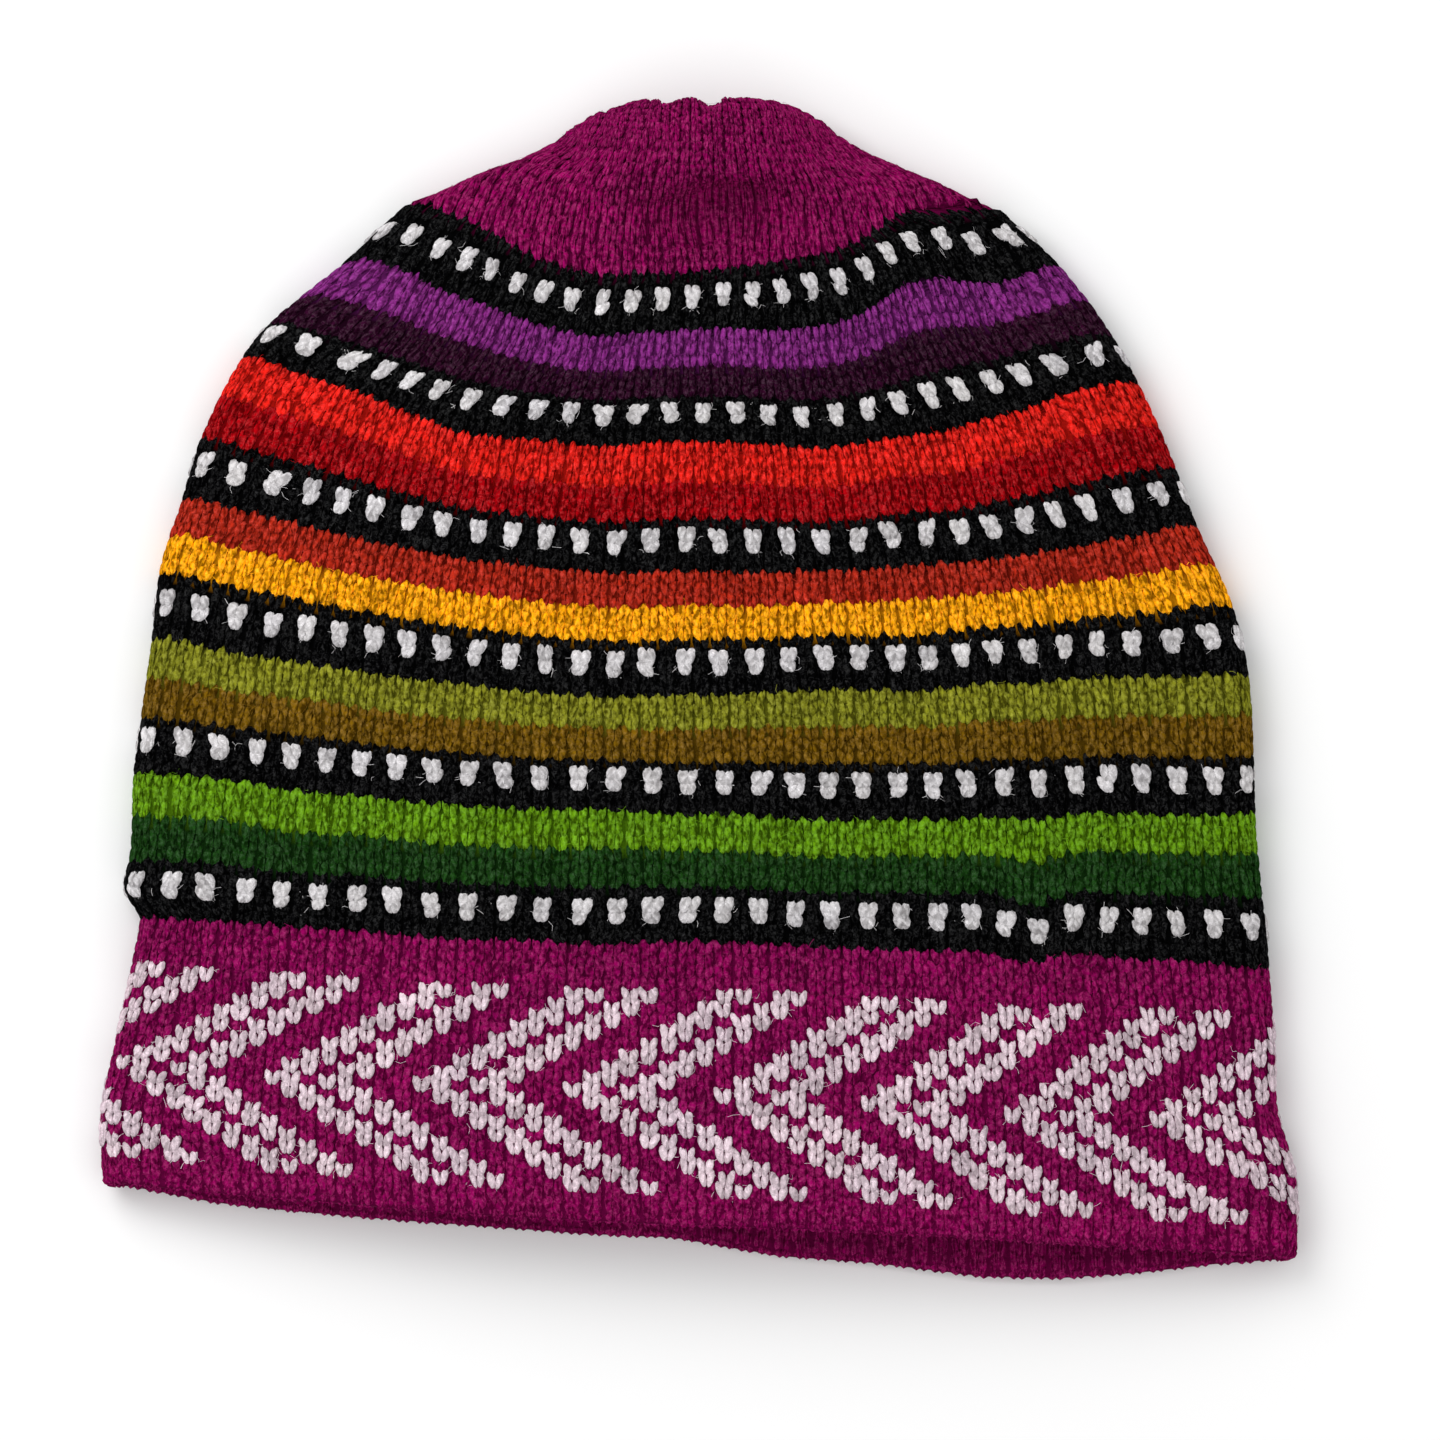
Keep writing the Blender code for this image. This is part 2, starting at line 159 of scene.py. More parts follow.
def measured(row, zone, foot, height, inner, spread, loft):
    """A section in metres, from the sizes of its zone."""
    return (zone + row.along, foot + row.up * height,
            inner + row.left * spread, inner + row.right * spread,
            row.left_rise * EDGE_RISE, row.right_rise * EDGE_RISE,
            row.loft * loft, row.lift * loft, row.fold * FOLD_RADIUS)


BRIM_ZONE = (0, BRIM_WALL / 2, BRIM_HEIGHT - BRIM_WALL / 2,
             BODY_WIDTH / 2, (BRIM_WIDTH - BODY_WIDTH) / 2, BRIM_LOFT)
BODY_ZONE = (1, BRIM_HEIGHT, BODY_HEIGHT,
             CROWN_WIDTH / 2, (BODY_WIDTH - CROWN_WIDTH) / 2, BODY_LOFT)
CROWN_ZONE = (2, BRIM_HEIGHT + BODY_HEIGHT, CROWN_HEIGHT, 0.0, CROWN_WIDTH / 2, CROWN_LOFT)
ROWS = np.array([measured(row, *BRIM_ZONE) for row in BRIM_SECTIONS]
                + [measured(row, *BODY_ZONE) for row in BODY_SECTIONS]
                + [measured(row, *CROWN_ZONE) for row in CROWN_SECTIONS])
KNOTS = ROWS[:, 0]
ARRIVING = np.gradient(ROWS, KNOTS, axis=0)
LEAVING = ARRIVING.copy()
STRAIGHT = np.diff(ROWS, axis=0) / np.diff(KNOTS)[:, None]
BRIM_TOP = len(BRIM_SECTIONS)
BODY_TOP = BRIM_TOP + len(BODY_SECTIONS)
ARRIVING[BRIM_TOP] = STRAIGHT[BRIM_TOP - 1]
LEAVING[BODY_TOP, 1] = STRAIGHT[BODY_TOP, 1]
print(len(ROWS), "sections, from hem to pinch")

# %% [markdown]
# Between two rows of the table the tube follows a Hermite curve, which passes through each row
# without a corner. Only where the brim ends does the hat step out sharply, and there the curve
# arrives straight. One section is a thin lens, rounded at both side folds, and places are
# spread evenly by length over its front and its rear, because knitting has even stitches.

# %% The tube's outer face
FACE_STEPS = 61
CORNER_STEPS = 12
FOLD_OF_LOFT = 0.48
FOLD_OF_REACH = 0.9


def section_at(along):
    """The section at a place along the hat."""
    index = int(np.clip(np.searchsorted(KNOTS, along, side="right") - 1, 0, len(KNOTS) - 2))
    span = KNOTS[index + 1] - KNOTS[index]
    q = (along - KNOTS[index]) / span
    start = ROWS[index] * (1 + 2 * q) * (1 - q) ** 2 + LEAVING[index] * span * q * (1 - q) ** 2
    end = ROWS[index + 1] * q * q * (3 - 2 * q) + ARRIVING[index + 1] * span * q * q * (q - 1)
    section = Section(*(start + end))
    return section._replace(lift=max(section.lift, 0.0))


def bump(distance):
    """A smooth hump that is 1 at distance 0 and falls away past 1."""
    return np.exp(-distance ** 2)


def arc(start, end):
    """Unit normals turning from one angle to another."""
    angles = np.linspace(start, end, CORNER_STEPS)
    return np.column_stack((np.cos(angles), np.sin(angles)))


def half_outline(section, core, normals, around):
    """Spread places evenly by length over half of a section, from one fold to the other."""
    outer = core + normals * section.fold
    steps = np.hypot(*np.diff(outer, axis=0).T)
    length = np.concatenate(([0.0], np.cumsum(steps)))
    length /= length[-1]
    places = [np.interp(around, length, column) for column in (*core.T, *normals.T)]
    return np.column_stack(places)


def outline(section, around):
    """Core points and outward normals, in X and Z, and the share across, of a section."""
    centre = (section.right - section.left) / 2
    reach = (section.right + section.left) / 2
    fold = min(section.fold, section.loft * FOLD_OF_LOFT, reach * FOLD_OF_REACH)
    reach -= fold
    swell = section.loft - 2 * fold
    q = np.sin(np.linspace(-math.pi / 2, math.pi / 2, FACE_STEPS))
    top = np.column_stack((centre + reach * q, swell * (1 - np.abs(q) ** BULGE_POWER)))
    slope = -swell * BULGE_POWER * np.abs(q) ** (BULGE_POWER - 1) * np.sign(q) / reach
    top_normals = np.column_stack((-slope, np.ones_like(q)))
    top_normals /= np.linalg.norm(top_normals, axis=1)[:, None]
    tilt = math.atan(slope[0])
    under = np.column_stack((centre + reach * q[::-1], np.zeros_like(q)))
    under_normals = np.tile((0.0, -1.0), (len(q), 1))
    corner = np.ones((CORNER_STEPS, 1))
    section = section._replace(fold=fold)
    front_core = np.vstack((corner * top[0], top, corner * top[-1]))
    front_normals = np.vstack((arc(math.pi, math.pi / 2 + tilt), top_normals,
                               arc(math.pi / 2 - tilt, 0.0)))
    rear_core = np.vstack((corner * under[0], under, corner * under[-1]))
    rear_normals = np.vstack((arc(0.0, -math.pi / 2), under_normals,
                              arc(-math.pi / 2, -math.pi)))
    front = half_outline(section, front_core, front_normals, around * 2)
    rear = half_outline(section, rear_core, rear_normals, around * 2 - 1)
    both = np.where((around < 0.5)[:, None], front, rear)
    across = np.clip((both[:, 0] - centre) / max(reach, 1e-6), -1.0, 1.0)
    both[:, 1] += section.lift + fold
    return both[:, :2], both[:, 2:], across, fold


def dent_depth(section, across, along, normals):
    """How far the front layer is pushed in at each place of a ring."""
    half = (section.left + section.right) / 2
    total = np.zeros_like(across)
    for dent in DENTS:
        sideways = (across - dent.across) * half / (dent.wide * BODY_WIDTH)
        lengthways = (along - dent.along) / dent.tall
        total += dent.depth * BODY_LOFT * bump(sideways) * bump(lengthways)
    return total * np.clip(normals[:, 1], 0.0, 1.0)


def face(around, along):
    """Points of the smooth outer face, and the section's own normals."""
    section = section_at(along)
    core, normals, across, fold = outline(section, around)
    flat = core + normals * fold
    flat[:, 1] -= dent_depth(section, across, along, normals)
    sag = (section.left_rise + section.right_rise) / 2
    lean = (section.right_rise - section.left_rise) / 2
    up = section.up + sag * np.abs(across) ** RISE_POWER
    up += lean * np.sign(across) * np.abs(across) ** LEAN_POWER
    rear = (1 - normals[:, 1]) / 2
    drop = np.interp(across, *REAR_HEM) * REAR_DROP
    up -= drop * rear * max(0.0, 1 - along / REAR_FADE) ** 2
    for notch in NOTCHES:
        sideways = (flat[:, 0] - notch.across * CROWN_WIDTH) / (notch.wide * CROWN_WIDTH)
        lengthways = (along - NOTCH_ALONG) / NOTCH_TALL
        up -= notch.depth * CROWN_HEIGHT * bump(sideways) * bump(lengthways)
    points = np.column_stack((flat[:, 0], up, flat[:, 1]))
    return points, np.column_stack((normals[:, 0], np.zeros_like(up), normals[:, 1]))


# %% [markdown]
# ## Courses instead of shares
#
# A knitter counts courses. The brim has 24, the striped body 60 and the crown 18, so from here
# a place along the hat is a course number. The hem is one more piece of the same cloth: it
# turns under in a half circle and runs back up inside as a facing. Its courses are counted
# below zero, and one grid then holds the whole cloth from the facing to the pinch.

# %% A grid over the whole cloth
BRIM_COURSES = 24
BODY_COURSES = 60
CROWN_COURSES = 18
CROWN_FOOT = BRIM_COURSES + BODY_COURSES
LAST_COURSE = CROWN_FOOT + CROWN_COURSES
BRIM_COURSE = (BRIM_HEIGHT - BRIM_WALL / 2) / BRIM_COURSES
TURN_COURSES = math.pi * BRIM_WALL / 2 / BRIM_COURSE
FIRST_COURSE = -TURN_COURSES - BRIM_COURSES
ROWS_PER_COURSE = 3
COLUMNS = 1024
COLUMN_PLACES = np.arange(COLUMNS) / COLUMNS
SMALL_STEP = 0.004


def along_of(course):
    """The share along the hat of a course on the outer face."""
    return float(np.interp(course, (0, BRIM_COURSES, CROWN_FOOT, LAST_COURSE), (0, 1, 2, 3)))


def cloth_row(course):
    """The ring of outer points of the cloth at one course, with the hem and its facing."""
    if course >= 0:
        return face(COLUMN_PLACES, along_of(course))[0]
    if course > -TURN_COURSES:
        turn = -course / TURN_COURSES * math.pi
        points, normals = face(COLUMN_PLACES, 0.0)
        onward = face(COLUMN_PLACES, SMALL_STEP)[0] - points
        onward /= np.linalg.norm(onward, axis=1)[:, None]
        radius = BRIM_WALL / 2
        return points - normals * radius * (1 - math.cos(turn)) - onward * radius * math.sin(turn)
    points, normals = face(COLUMN_PLACES, along_of(-course - TURN_COURSES))
    return points - normals * BRIM_WALL


GRID_COURSES = np.linspace(FIRST_COURSE, LAST_COURSE,
                           int((LAST_COURSE - FIRST_COURSE) * ROWS_PER_COURSE) + 1)
SMOOTH = np.array([cloth_row(course) for course in GRID_COURSES])
flat_points = SMOOTH.reshape(-1, 3)
low, high = flat_points.min(axis=0), flat_points.max(axis=0)
CAD_MIDDLE = (np.array(CAD_BOX[0]) + np.array(CAD_BOX[1])) / 2
SMOOTH -= np.array(((low[0] + high[0]) / 2 - CAD_MIDDLE[0],
                    (low[1] + high[1]) / 2 - CAD_MIDDLE[1], low[2]))
print("cloth grid", SMOOTH.shape, "spans", SMOOTH.min(axis=(0, 1)), SMOOTH.max(axis=(0, 1)))


def grid_row(course):
    """Which row of the grid a course lies on, with its fraction."""
    row = (course - FIRST_COURSE) / (LAST_COURSE - FIRST_COURSE) * (len(GRID_COURSES) - 1)
    return np.clip(row, 0, len(GRID_COURSES) - 1)


def between(table, row, column):
    """Numbers or points of a table, read between its rows and its columns."""
    below = np.minimum(np.floor(row).astype(int), table.shape[0] - 2)
    left = np.minimum(np.floor(column).astype(int), table.shape[1] - 2)
    share_x, share_y = column - left, row - below
    if table.ndim == 3:
        share_x, share_y = share_x[..., None], share_y[..., None]
    lower = table[below, left] * (1 - share_x) + table[below, left + 1] * share_x
    upper = table[below + 1, left] * (1 - share_x) + table[below + 1, left + 1] * share_x
    return lower * (1 - share_y) + upper * share_y


# %% [markdown]
# ## The crown's wales
#
# The crown narrows fast, but its wales don't run together like spokes. They stay almost upright,
# and the knitter takes out those that reach a side fold. So in the crown a wale keeps its
# distance from the middle, measured along the cloth, and shortens that distance only a little
# on the way up. The front and the rear each have a middle of their own.

# %% Distances along the crown's rings
PINCH_X = -0.0019
CONVERGING = 0.28
FOOT_ROW = int(np.argmin(np.abs(GRID_COURSES - CROWN_FOOT)))
HALF = COLUMNS // 2
STEPS = np.linalg.norm(np.roll(SMOOTH, -1, axis=1) - SMOOTH, axis=2)
GIRTH = STEPS.sum(axis=1)
LENGTH = np.concatenate((np.zeros((len(STEPS), 1)), np.cumsum(STEPS, axis=1)), axis=1)
CLOSED_PLACES = np.arange(COLUMNS + 1) / COLUMNS


def middle_length(side):
    """How far around each ring its front (0) or rear (1) middle is."""
    middles = []
    for row, ring in enumerate(SMOOTH[:, :, 0]):
        half = ring[:HALF] if side == 0 else ring[:HALF - 1:-1]
        lengths = LENGTH[row, :HALF] if side == 0 else LENGTH[row, COLUMNS - 1:HALF - 1:-1]
        middles.append(np.interp(PINCH_X, np.maximum.accumulate(half), lengths))
    return np.array(middles)


MIDDLES = (middle_length(0), middle_length(1))
FARTHEST = 0.16
LENGTH_BINS = np.linspace(-FARTHEST, FARTHEST, 1281)


def places_by_length(side):
    """A table of the place at each distance from the middle, for every ring."""
    table = []
    for row in range(len(GRID_COURSES)):
        lengths = np.concatenate((LENGTH[row, :-1] - GIRTH[row], LENGTH[row, :-1],
                                  LENGTH[row] + GIRTH[row]))
        places = np.concatenate((COLUMN_PLACES - 1, COLUMN_PLACES, CLOSED_PLACES + 1))
        table.append(np.interp(LENGTH_BINS + MIDDLES[side][row], lengths, places))
    return np.array(table)


PLACES_BY_LENGTH = (places_by_length(0), places_by_length(1))


def closing(course):
    """How much of its distance from the middle a wale keeps at a course."""
    return 1 - CONVERGING * np.clip((course - CROWN_FOOT) / CROWN_COURSES, 0.0, 1.0)


def foot_place(side):
    """For every place of the grid, where its wale starts at the crown's foot."""
    from_middle = (LENGTH[:, :-1] - MIDDLES[side][:, None]) / closing(GRID_COURSES)[:, None]
    below_foot = LENGTH[:, :-1] / GIRTH[:, None] * GIRTH[FOOT_ROW] - MIDDLES[side][FOOT_ROW]
    from_middle = np.where(GRID_COURSES[:, None] > CROWN_FOOT, from_middle, below_foot)
    return np.interp(from_middle, LENGTH_BINS, PLACES_BY_LENGTH[side][FOOT_ROW])


def upright(around, course, rear):
    """Move places of the crown so that its wales run upright. Also says which pass a fold."""
    once, foot, girth = CLOSED_PLACES[1:], LENGTH[FOOT_ROW], GIRTH[FOOT_ROW]
    three_turns = np.concatenate((CLOSED_PLACES - 1, once, once + 1))
    three_lengths = np.concatenate((foot - girth, foot[1:], foot[1:] + girth))
    places, past = [], []
    for side in (0, 1):
        near = np.mod(around + 0.25 - 0.5 * side, 1.0) - 0.25 + 0.5 * side
        start = np.interp(near, three_turns, three_lengths) - MIDDLES[side][FOOT_ROW]
        column = np.interp(start * closing(course), LENGTH_BINS, np.arange(len(LENGTH_BINS)))
        place = between(PLACES_BY_LENGTH[side], grid_row(course), column)
        places.append(place)
        past.append((place < 0.5 * side) | (place > 0.5 * side + 0.5))
    return np.where(rear, places[1], places[0]), np.where(rear, past[1], past[0])


# %% [markdown]
# ## Small relief
#
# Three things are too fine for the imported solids: the ribs that the gathers draw into the
# crown, the puckered crease that runs up the right side, and the soft waves of worn cloth. They
# are added by moving the grid along its own normals. All of it goes inwards, so that the hat
# stays inside its box and nothing sinks into the table.

# %% Normals and relief of the grid
RIBS = 48
RIB_DEPTH = 0.7 * MM
GATHER_DEPTH = 0.8 * MM
CREASE_DEPTH = 1.5 * MM
CREASE_WIDE = 1.5 * MM
WAVE_DEPTH = 0.5 * MM

GATHER_WIDE = 0.034
GATHER_GROWS = 6
GATHER_ENDS = 8
CREASE_FOOT = 14
CREASE_FADES = 8
CREASE_TOP = CROWN_FOOT + 6
SHARP_FOLD = 60
SOFT_FOLD = 30

Waves = namedtuple("Waves", "seed count turns lengths")
GATHER_WAVES = Waves(3, 5, (14, 30), (16, 40))
WORN_WAVES = Waves(5, 9, (2, 11), (14, 60))

Hollow = namedtuple("Hollow", "x course wide tall depth")
HOLLOWS = (
    Hollow(0.0062, 87.3, 0.0095, 1.3, 5.0 * MM),
    Hollow(-0.0060, 86.4, 0.0110, 1.2, 3.0 * MM),
    Hollow(-0.0270, 91.4, 0.0030, 2.4, 1.2 * MM),
    Hollow(-0.0210, 92.2, 0.0022, 2.8, 1.0 * MM),
)

Crease = namedtuple("Crease", "courses x")
CREASE = Crease(courses=(18, 50, 62, 72, 79, 84),
                x=(0.0790, 0.0788, 0.0775, 0.0755, 0.0690, 0.0600))


def grid_normals(points):
    """Outward unit normals of a grid of points that closes around."""
    sideways = np.roll(points, -1, axis=1) - np.roll(points, 1, axis=1)
    onward = np.gradient(points, axis=0)
    normals = np.cross(sideways, onward)
    return normals / np.maximum(np.linalg.norm(normals, axis=2), 1e-12)[:, :, None]


def crease_x(course):
    """Where the side crease runs, in X."""
    return np.interp(course, *CREASE)


def on_front(around, steepness):
    """A share that is 1 on the front, and fades to 0 at its two side folds."""
    return np.clip(steepness * around * (0.5 - around), 0.0, 1.0)


def waves(around, course, kind):
    """Soft seeded waves between -1 and 1 that close around the hat."""
    chance = np.random.default_rng(kind.seed)
    total = np.zeros(np.broadcast(around, course).shape)
    for _ in range(kind.count):
        number = chance.integers(kind.turns[0], kind.turns[1] + 1)
        length = chance.uniform(*kind.lengths) * chance.choice((-1, 1))
        phase = chance.uniform(0, 2 * math.pi)
        total = total + np.sin(2 * math.pi * (number * around + course / length) + phase)
    return total / kind.count


def relief(around, course, x):
    """How far the cloth is drawn in at each place of the grid."""
    grow = np.clip((course - CROWN_FOOT - 1) / GATHER_GROWS, 0.0, 1.0)
    end = np.clip((LAST_COURSE - course) / GATHER_ENDS, 0.0, 1.0)
    rib = 0.5 + 0.5 * np.cos(2 * math.pi * RIBS * WALE_PLACE)
    gather = 0.5 + 0.5 * waves(WALE_PLACE, course, GATHER_WAVES)
    middle = bump((x - PINCH_X) / GATHER_WIDE) * end
    depth = grow * middle * (RIB_DEPTH * rib + GATHER_DEPTH * gather)
    for hollow in HOLLOWS:
        sideways = (x - hollow.x) / hollow.wide
        lengthways = (course - hollow.course) / hollow.tall
        depth += hollow.depth * bump(sideways) * bump(lengthways) * (around < 0.5)
    start = np.clip((course - CREASE_FOOT) / CREASE_FADES, 0.0, 1.0)
    end = np.clip((CREASE_TOP - course) / CREASE_FADES, 0.0, 1.0)
    ridge = bump((x - crease_x(course)) / CREASE_WIDE)
    depth += CREASE_DEPTH * start * end * on_front(around, SHARP_FOLD) * ridge
    depth += WAVE_DEPTH * (0.5 + 0.5 * waves(around, course, WORN_WAVES))
    return depth


PLACE, COURSE = np.meshgrid(COLUMN_PLACES, GRID_COURSES)
WALE_PLACE = np.where(PLACE < 0.5, foot_place(0), foot_place(1))
DEPTH = relief(PLACE, COURSE, SMOOTH[:, :, 0])
CLOTH = SMOOTH - grid_normals(SMOOTH) * DEPTH[:, :, None]
NORMALS = grid_normals(CLOTH)
print("relief up to", round(float(DEPTH.max()) / MM, 2), "mm")


def closed(grid):
    """A grid with its first column once more at its end, so that it can be read all around."""
    return np.concatenate((grid, grid[:, :1]), axis=1)


CLOSED_CLOTH, CLOSED_NORMALS = closed(CLOTH), closed(NORMALS)


def on_cloth(around, course, height):
    """Points at a height over the cloth."""
    row, column = grid_row(course), np.mod(around, 1.0) * COLUMNS
    foot = between(CLOSED_CLOTH, row, column)
    return foot + between(CLOSED_NORMALS, row, column) * height[..., None]


# %% [markdown]
# ## Wales that run true
#
# The sections narrow and shift from row to row, and wales drawn at fixed shares around them
# would sway with every notch in the outline. Real wales run almost straight. So each place is
# nudged sideways to a smoothed X.

# %% Steady wales
STEADY_COURSES = 16.0
STEADY_STEEPNESS = 9
STEADY_FADES = 8
LEAST_X_STEP = 0.1

weights = bump((GRID_COURSES[:, None] - GRID_COURSES[None]) / STEADY_COURSES)
weights /= weights.sum(axis=1)[:, None]
SWAY = (weights @ SMOOTH[:, :, 0]) - SMOOTH[:, :, 0]
X_STEP = (np.roll(SMOOTH[:, :, 0], -1, axis=1) - np.roll(SMOOTH[:, :, 0], 1, axis=1)) * COLUMNS / 2
INNER = np.clip(STEADY_STEEPNESS * np.sin(2 * math.pi * PLACE) ** 2, 0.0, 1.0)
SWAY_SHARE = SWAY * INNER / np.where(np.abs(X_STEP) < LEAST_X_STEP, np.inf, X_STEP)
SWAY_SHARE *= np.clip((CROWN_FOOT - COURSE) / STEADY_FADES, 0.0, 1.0)
CLOSED_SWAY = closed(SWAY_SHARE)
print("wales are nudged by up to", round(float(np.abs(SWAY_SHARE).max()), 4), "of a turn")


def steadied(around, course):
    """Nudge places sideways, so that a wale of the brim or body runs true."""
    return around + between(CLOSED_SWAY, grid_row(course), np.mod(around, 1.0) * COLUMNS)


# %% [markdown]
# ## The colour chart
#
# The body repeats one plan: five black courses with a row of white dots, then two stripes of
# three courses each. The brim carries a chevron band, charted on eight wales and seventeen
# courses. The chart is the same above and below its middle course, so each column lists only
# how many courses from the middle its white stitches are. As the hat narrows the knitter takes
# out wales at a colour change, and here the count drops in the same places.
#
# A dot is two white stitches of one wale, one over the other. The double yarn swells there, so
# the two look like one heart: the upper stitch is full, and the lower one, the heel, is drawn
# in to a point. Where the cloth is stretched lengthways a dot keeps its own height.

# %% Yarns and stripes


def dyed(red, green, blue):
    """A yarn colour as it looks, from 0 to 255, turned into the light values Blender uses."""
    seen = np.array((red, green, blue)) / 255
    return np.where(seen <= 0.04045, seen / 12.92, ((seen + 0.055) / 1.055) ** 2.4)


YARNS = {
    "magenta": dyed(126, 6, 76),
    "black": dyed(5, 5, 6),
    "white": dyed(190, 187, 189),
    "rosy_white": dyed(204, 185, 194),
    "dark_green": dyed(22, 56, 16),
    "lime": dyed(88, 132, 14),
    "brown": dyed(104, 76, 10),
    "olive": dyed(118, 120, 28),
    "gold": dyed(232, 154, 10),
    "rust": dyed(158, 36, 20),
    "dark_red": dyed(146, 4, 12),
    "red": dyed(204, 28, 20),
    "dark_purple": dyed(42, 8, 32),
    "purple": dyed(114, 34, 110),
}
YARN_NAMES = list(YARNS)
PALETTE = np.array([YARNS[name] for name in YARN_NAMES])
WHITES = [YARN_NAMES.index("white"), YARN_NAMES.index("rosy_white")]

Pair = namedtuple("Pair", "name low high wales")
PAIRS = (
    Pair("green", "dark_green", "lime", 128),
    Pair("olive", "brown", "olive", 128),
    Pair("gold", "gold", "rust", 128),
    Pair("red", "dark_red", "red", 120),
    Pair("purple", "dark_purple", "purple", 108),
)
BLACK_COURSES = 5
STRIPE_COURSES = 3
PAIR_COURSES = BLACK_COURSES + 2 * STRIPE_COURSES
CROWN_WALES = 96

Stripe = namedtuple("Stripe", "first yarn wales")
STRIPES = []
PAIR_FEET = [BRIM_COURSES + number * PAIR_COURSES for number in range(len(PAIRS) + 1)]
for foot, pair in zip(PAIR_FEET, PAIRS):
    STRIPES.append(Stripe(foot, "black", pair.wales))
    STRIPES.append(Stripe(foot + BLACK_COURSES, pair.low, pair.wales))
    STRIPES.append(Stripe(foot + BLACK_COURSES + STRIPE_COURSES, pair.high, pair.wales))
STRIPES.append(Stripe(PAIR_FEET[-1], "black", CROWN_WALES))
STRIPES.append(Stripe(CROWN_FOOT, "magenta", CROWN_WALES))

BRIM_WALES = 128
DOT_COURSES = (2, 3)
DOT_SPREAD = 0.92
DOT_SWELL = 1.42
DOT_TALL = 1.10
DOT_RAISE = 0.40 * MM
DOT_SINK = 0.22
DOT_CLOSING = -1.3
HEEL_SPREAD = 0.66
HEEL_SWELL = 0.88 * DOT_SWELL
HEEL_BLUNT = 0.26
HEEL_CLOSING = -0.3
WHITE_RAISE = 0.26 * MM
WHITE_SWELL = 0.92

CHEVRON = (
    (0, 4, 5, 7, 8),
    (0, 1, 5, 6, 8),
    (1, 2, 6, 7),
    (0, 2, 3, 7, 8),
    (0, 1, 3, 4, 8),
    (1, 2, 4, 5),
    (2, 3, 5, 6),
    (3, 4, 6, 7),
)
CHEVRON_MIDDLE = 11
CHEVRON_REACH = 8
CHEVRON_START = 1


def stripe_of(course):
    """The stripe that a course of the body or crown belongs to."""
    return [stripe for stripe in STRIPES if stripe.first <= course][-1]


def wales_of(course):
    """How many wales go around the hat at a course."""
    return BRIM_WALES if course < BRIM_COURSES else stripe_of(course).wales


def chart(course, wales):
    """The yarn number of each wale of one course."""
    yarn = np.full(len(wales), YARN_NAMES.index("magenta"))
    if course < BRIM_COURSES:
        away = abs(course - CHEVRON_MIDDLE)
        if away <= CHEVRON_REACH:
            white = [away in CHEVRON[(wale - CHEVRON_START) % len(CHEVRON)] for wale in wales]
            yarn[white] = YARN_NAMES.index("rosy_white")
        return yarn
    stripe = stripe_of(course)
    yarn[:] = YARN_NAMES.index(stripe.yarn)
    if stripe.yarn == "black" and course - stripe.first in DOT_COURSES:
        yarn[wales % 2 == 1] = YARN_NAMES.index("white")
    return yarn


for course in reversed(range(CHEVRON_MIDDLE - CHEVRON_REACH, CHEVRON_MIDDLE + CHEVRON_REACH + 1)):
    print("".join("o" if yarn else "." for yarn in chart(course, np.arange(33))))

# %% [markdown]
# ## Wool
#
# The yarn is spun from short, fine hairs that catch the light in every direction, so it has no
# shine, only a soft bright edge. Its colour is a blend of dyed hairs, lighter and darker ones
# together, and the same blend also carries painted highlight and painted shade: the crests of
# the plies and loose fibres are painted bright, and the grooves between plies are painted dark.
# Painting an image would fix its sharpness, so the blend is mixed from noise that runs along
# each strand. To keep the node graphs readable, a small class lets a socket take part in
# ordinary arithmetic: every + or * between sockets adds one Math node.

# %% Arithmetic on sockets


class Field:
    """A number that varies over a surface."""

    def __init__(self, recipe, socket):
        self.recipe = recipe
        self.socket = socket

    def work(self, operation, first, second=0.0):
        return self.recipe.node("ShaderNodeMath", {"operation": operation}, {0: first, 1: second})

    def __add__(self, other):
        return self.work("ADD", self, other)

    def __sub__(self, other):
        return self.work("SUBTRACT", self, other)

    def __rsub__(self, other):
        return self.work("SUBTRACT", other, self)

    def __mul__(self, other):
        return self.work("MULTIPLY", self, other)

    def sine(self):
        return self.work("SINE", self)

    def size(self):
        return self.work("ABSOLUTE", self)


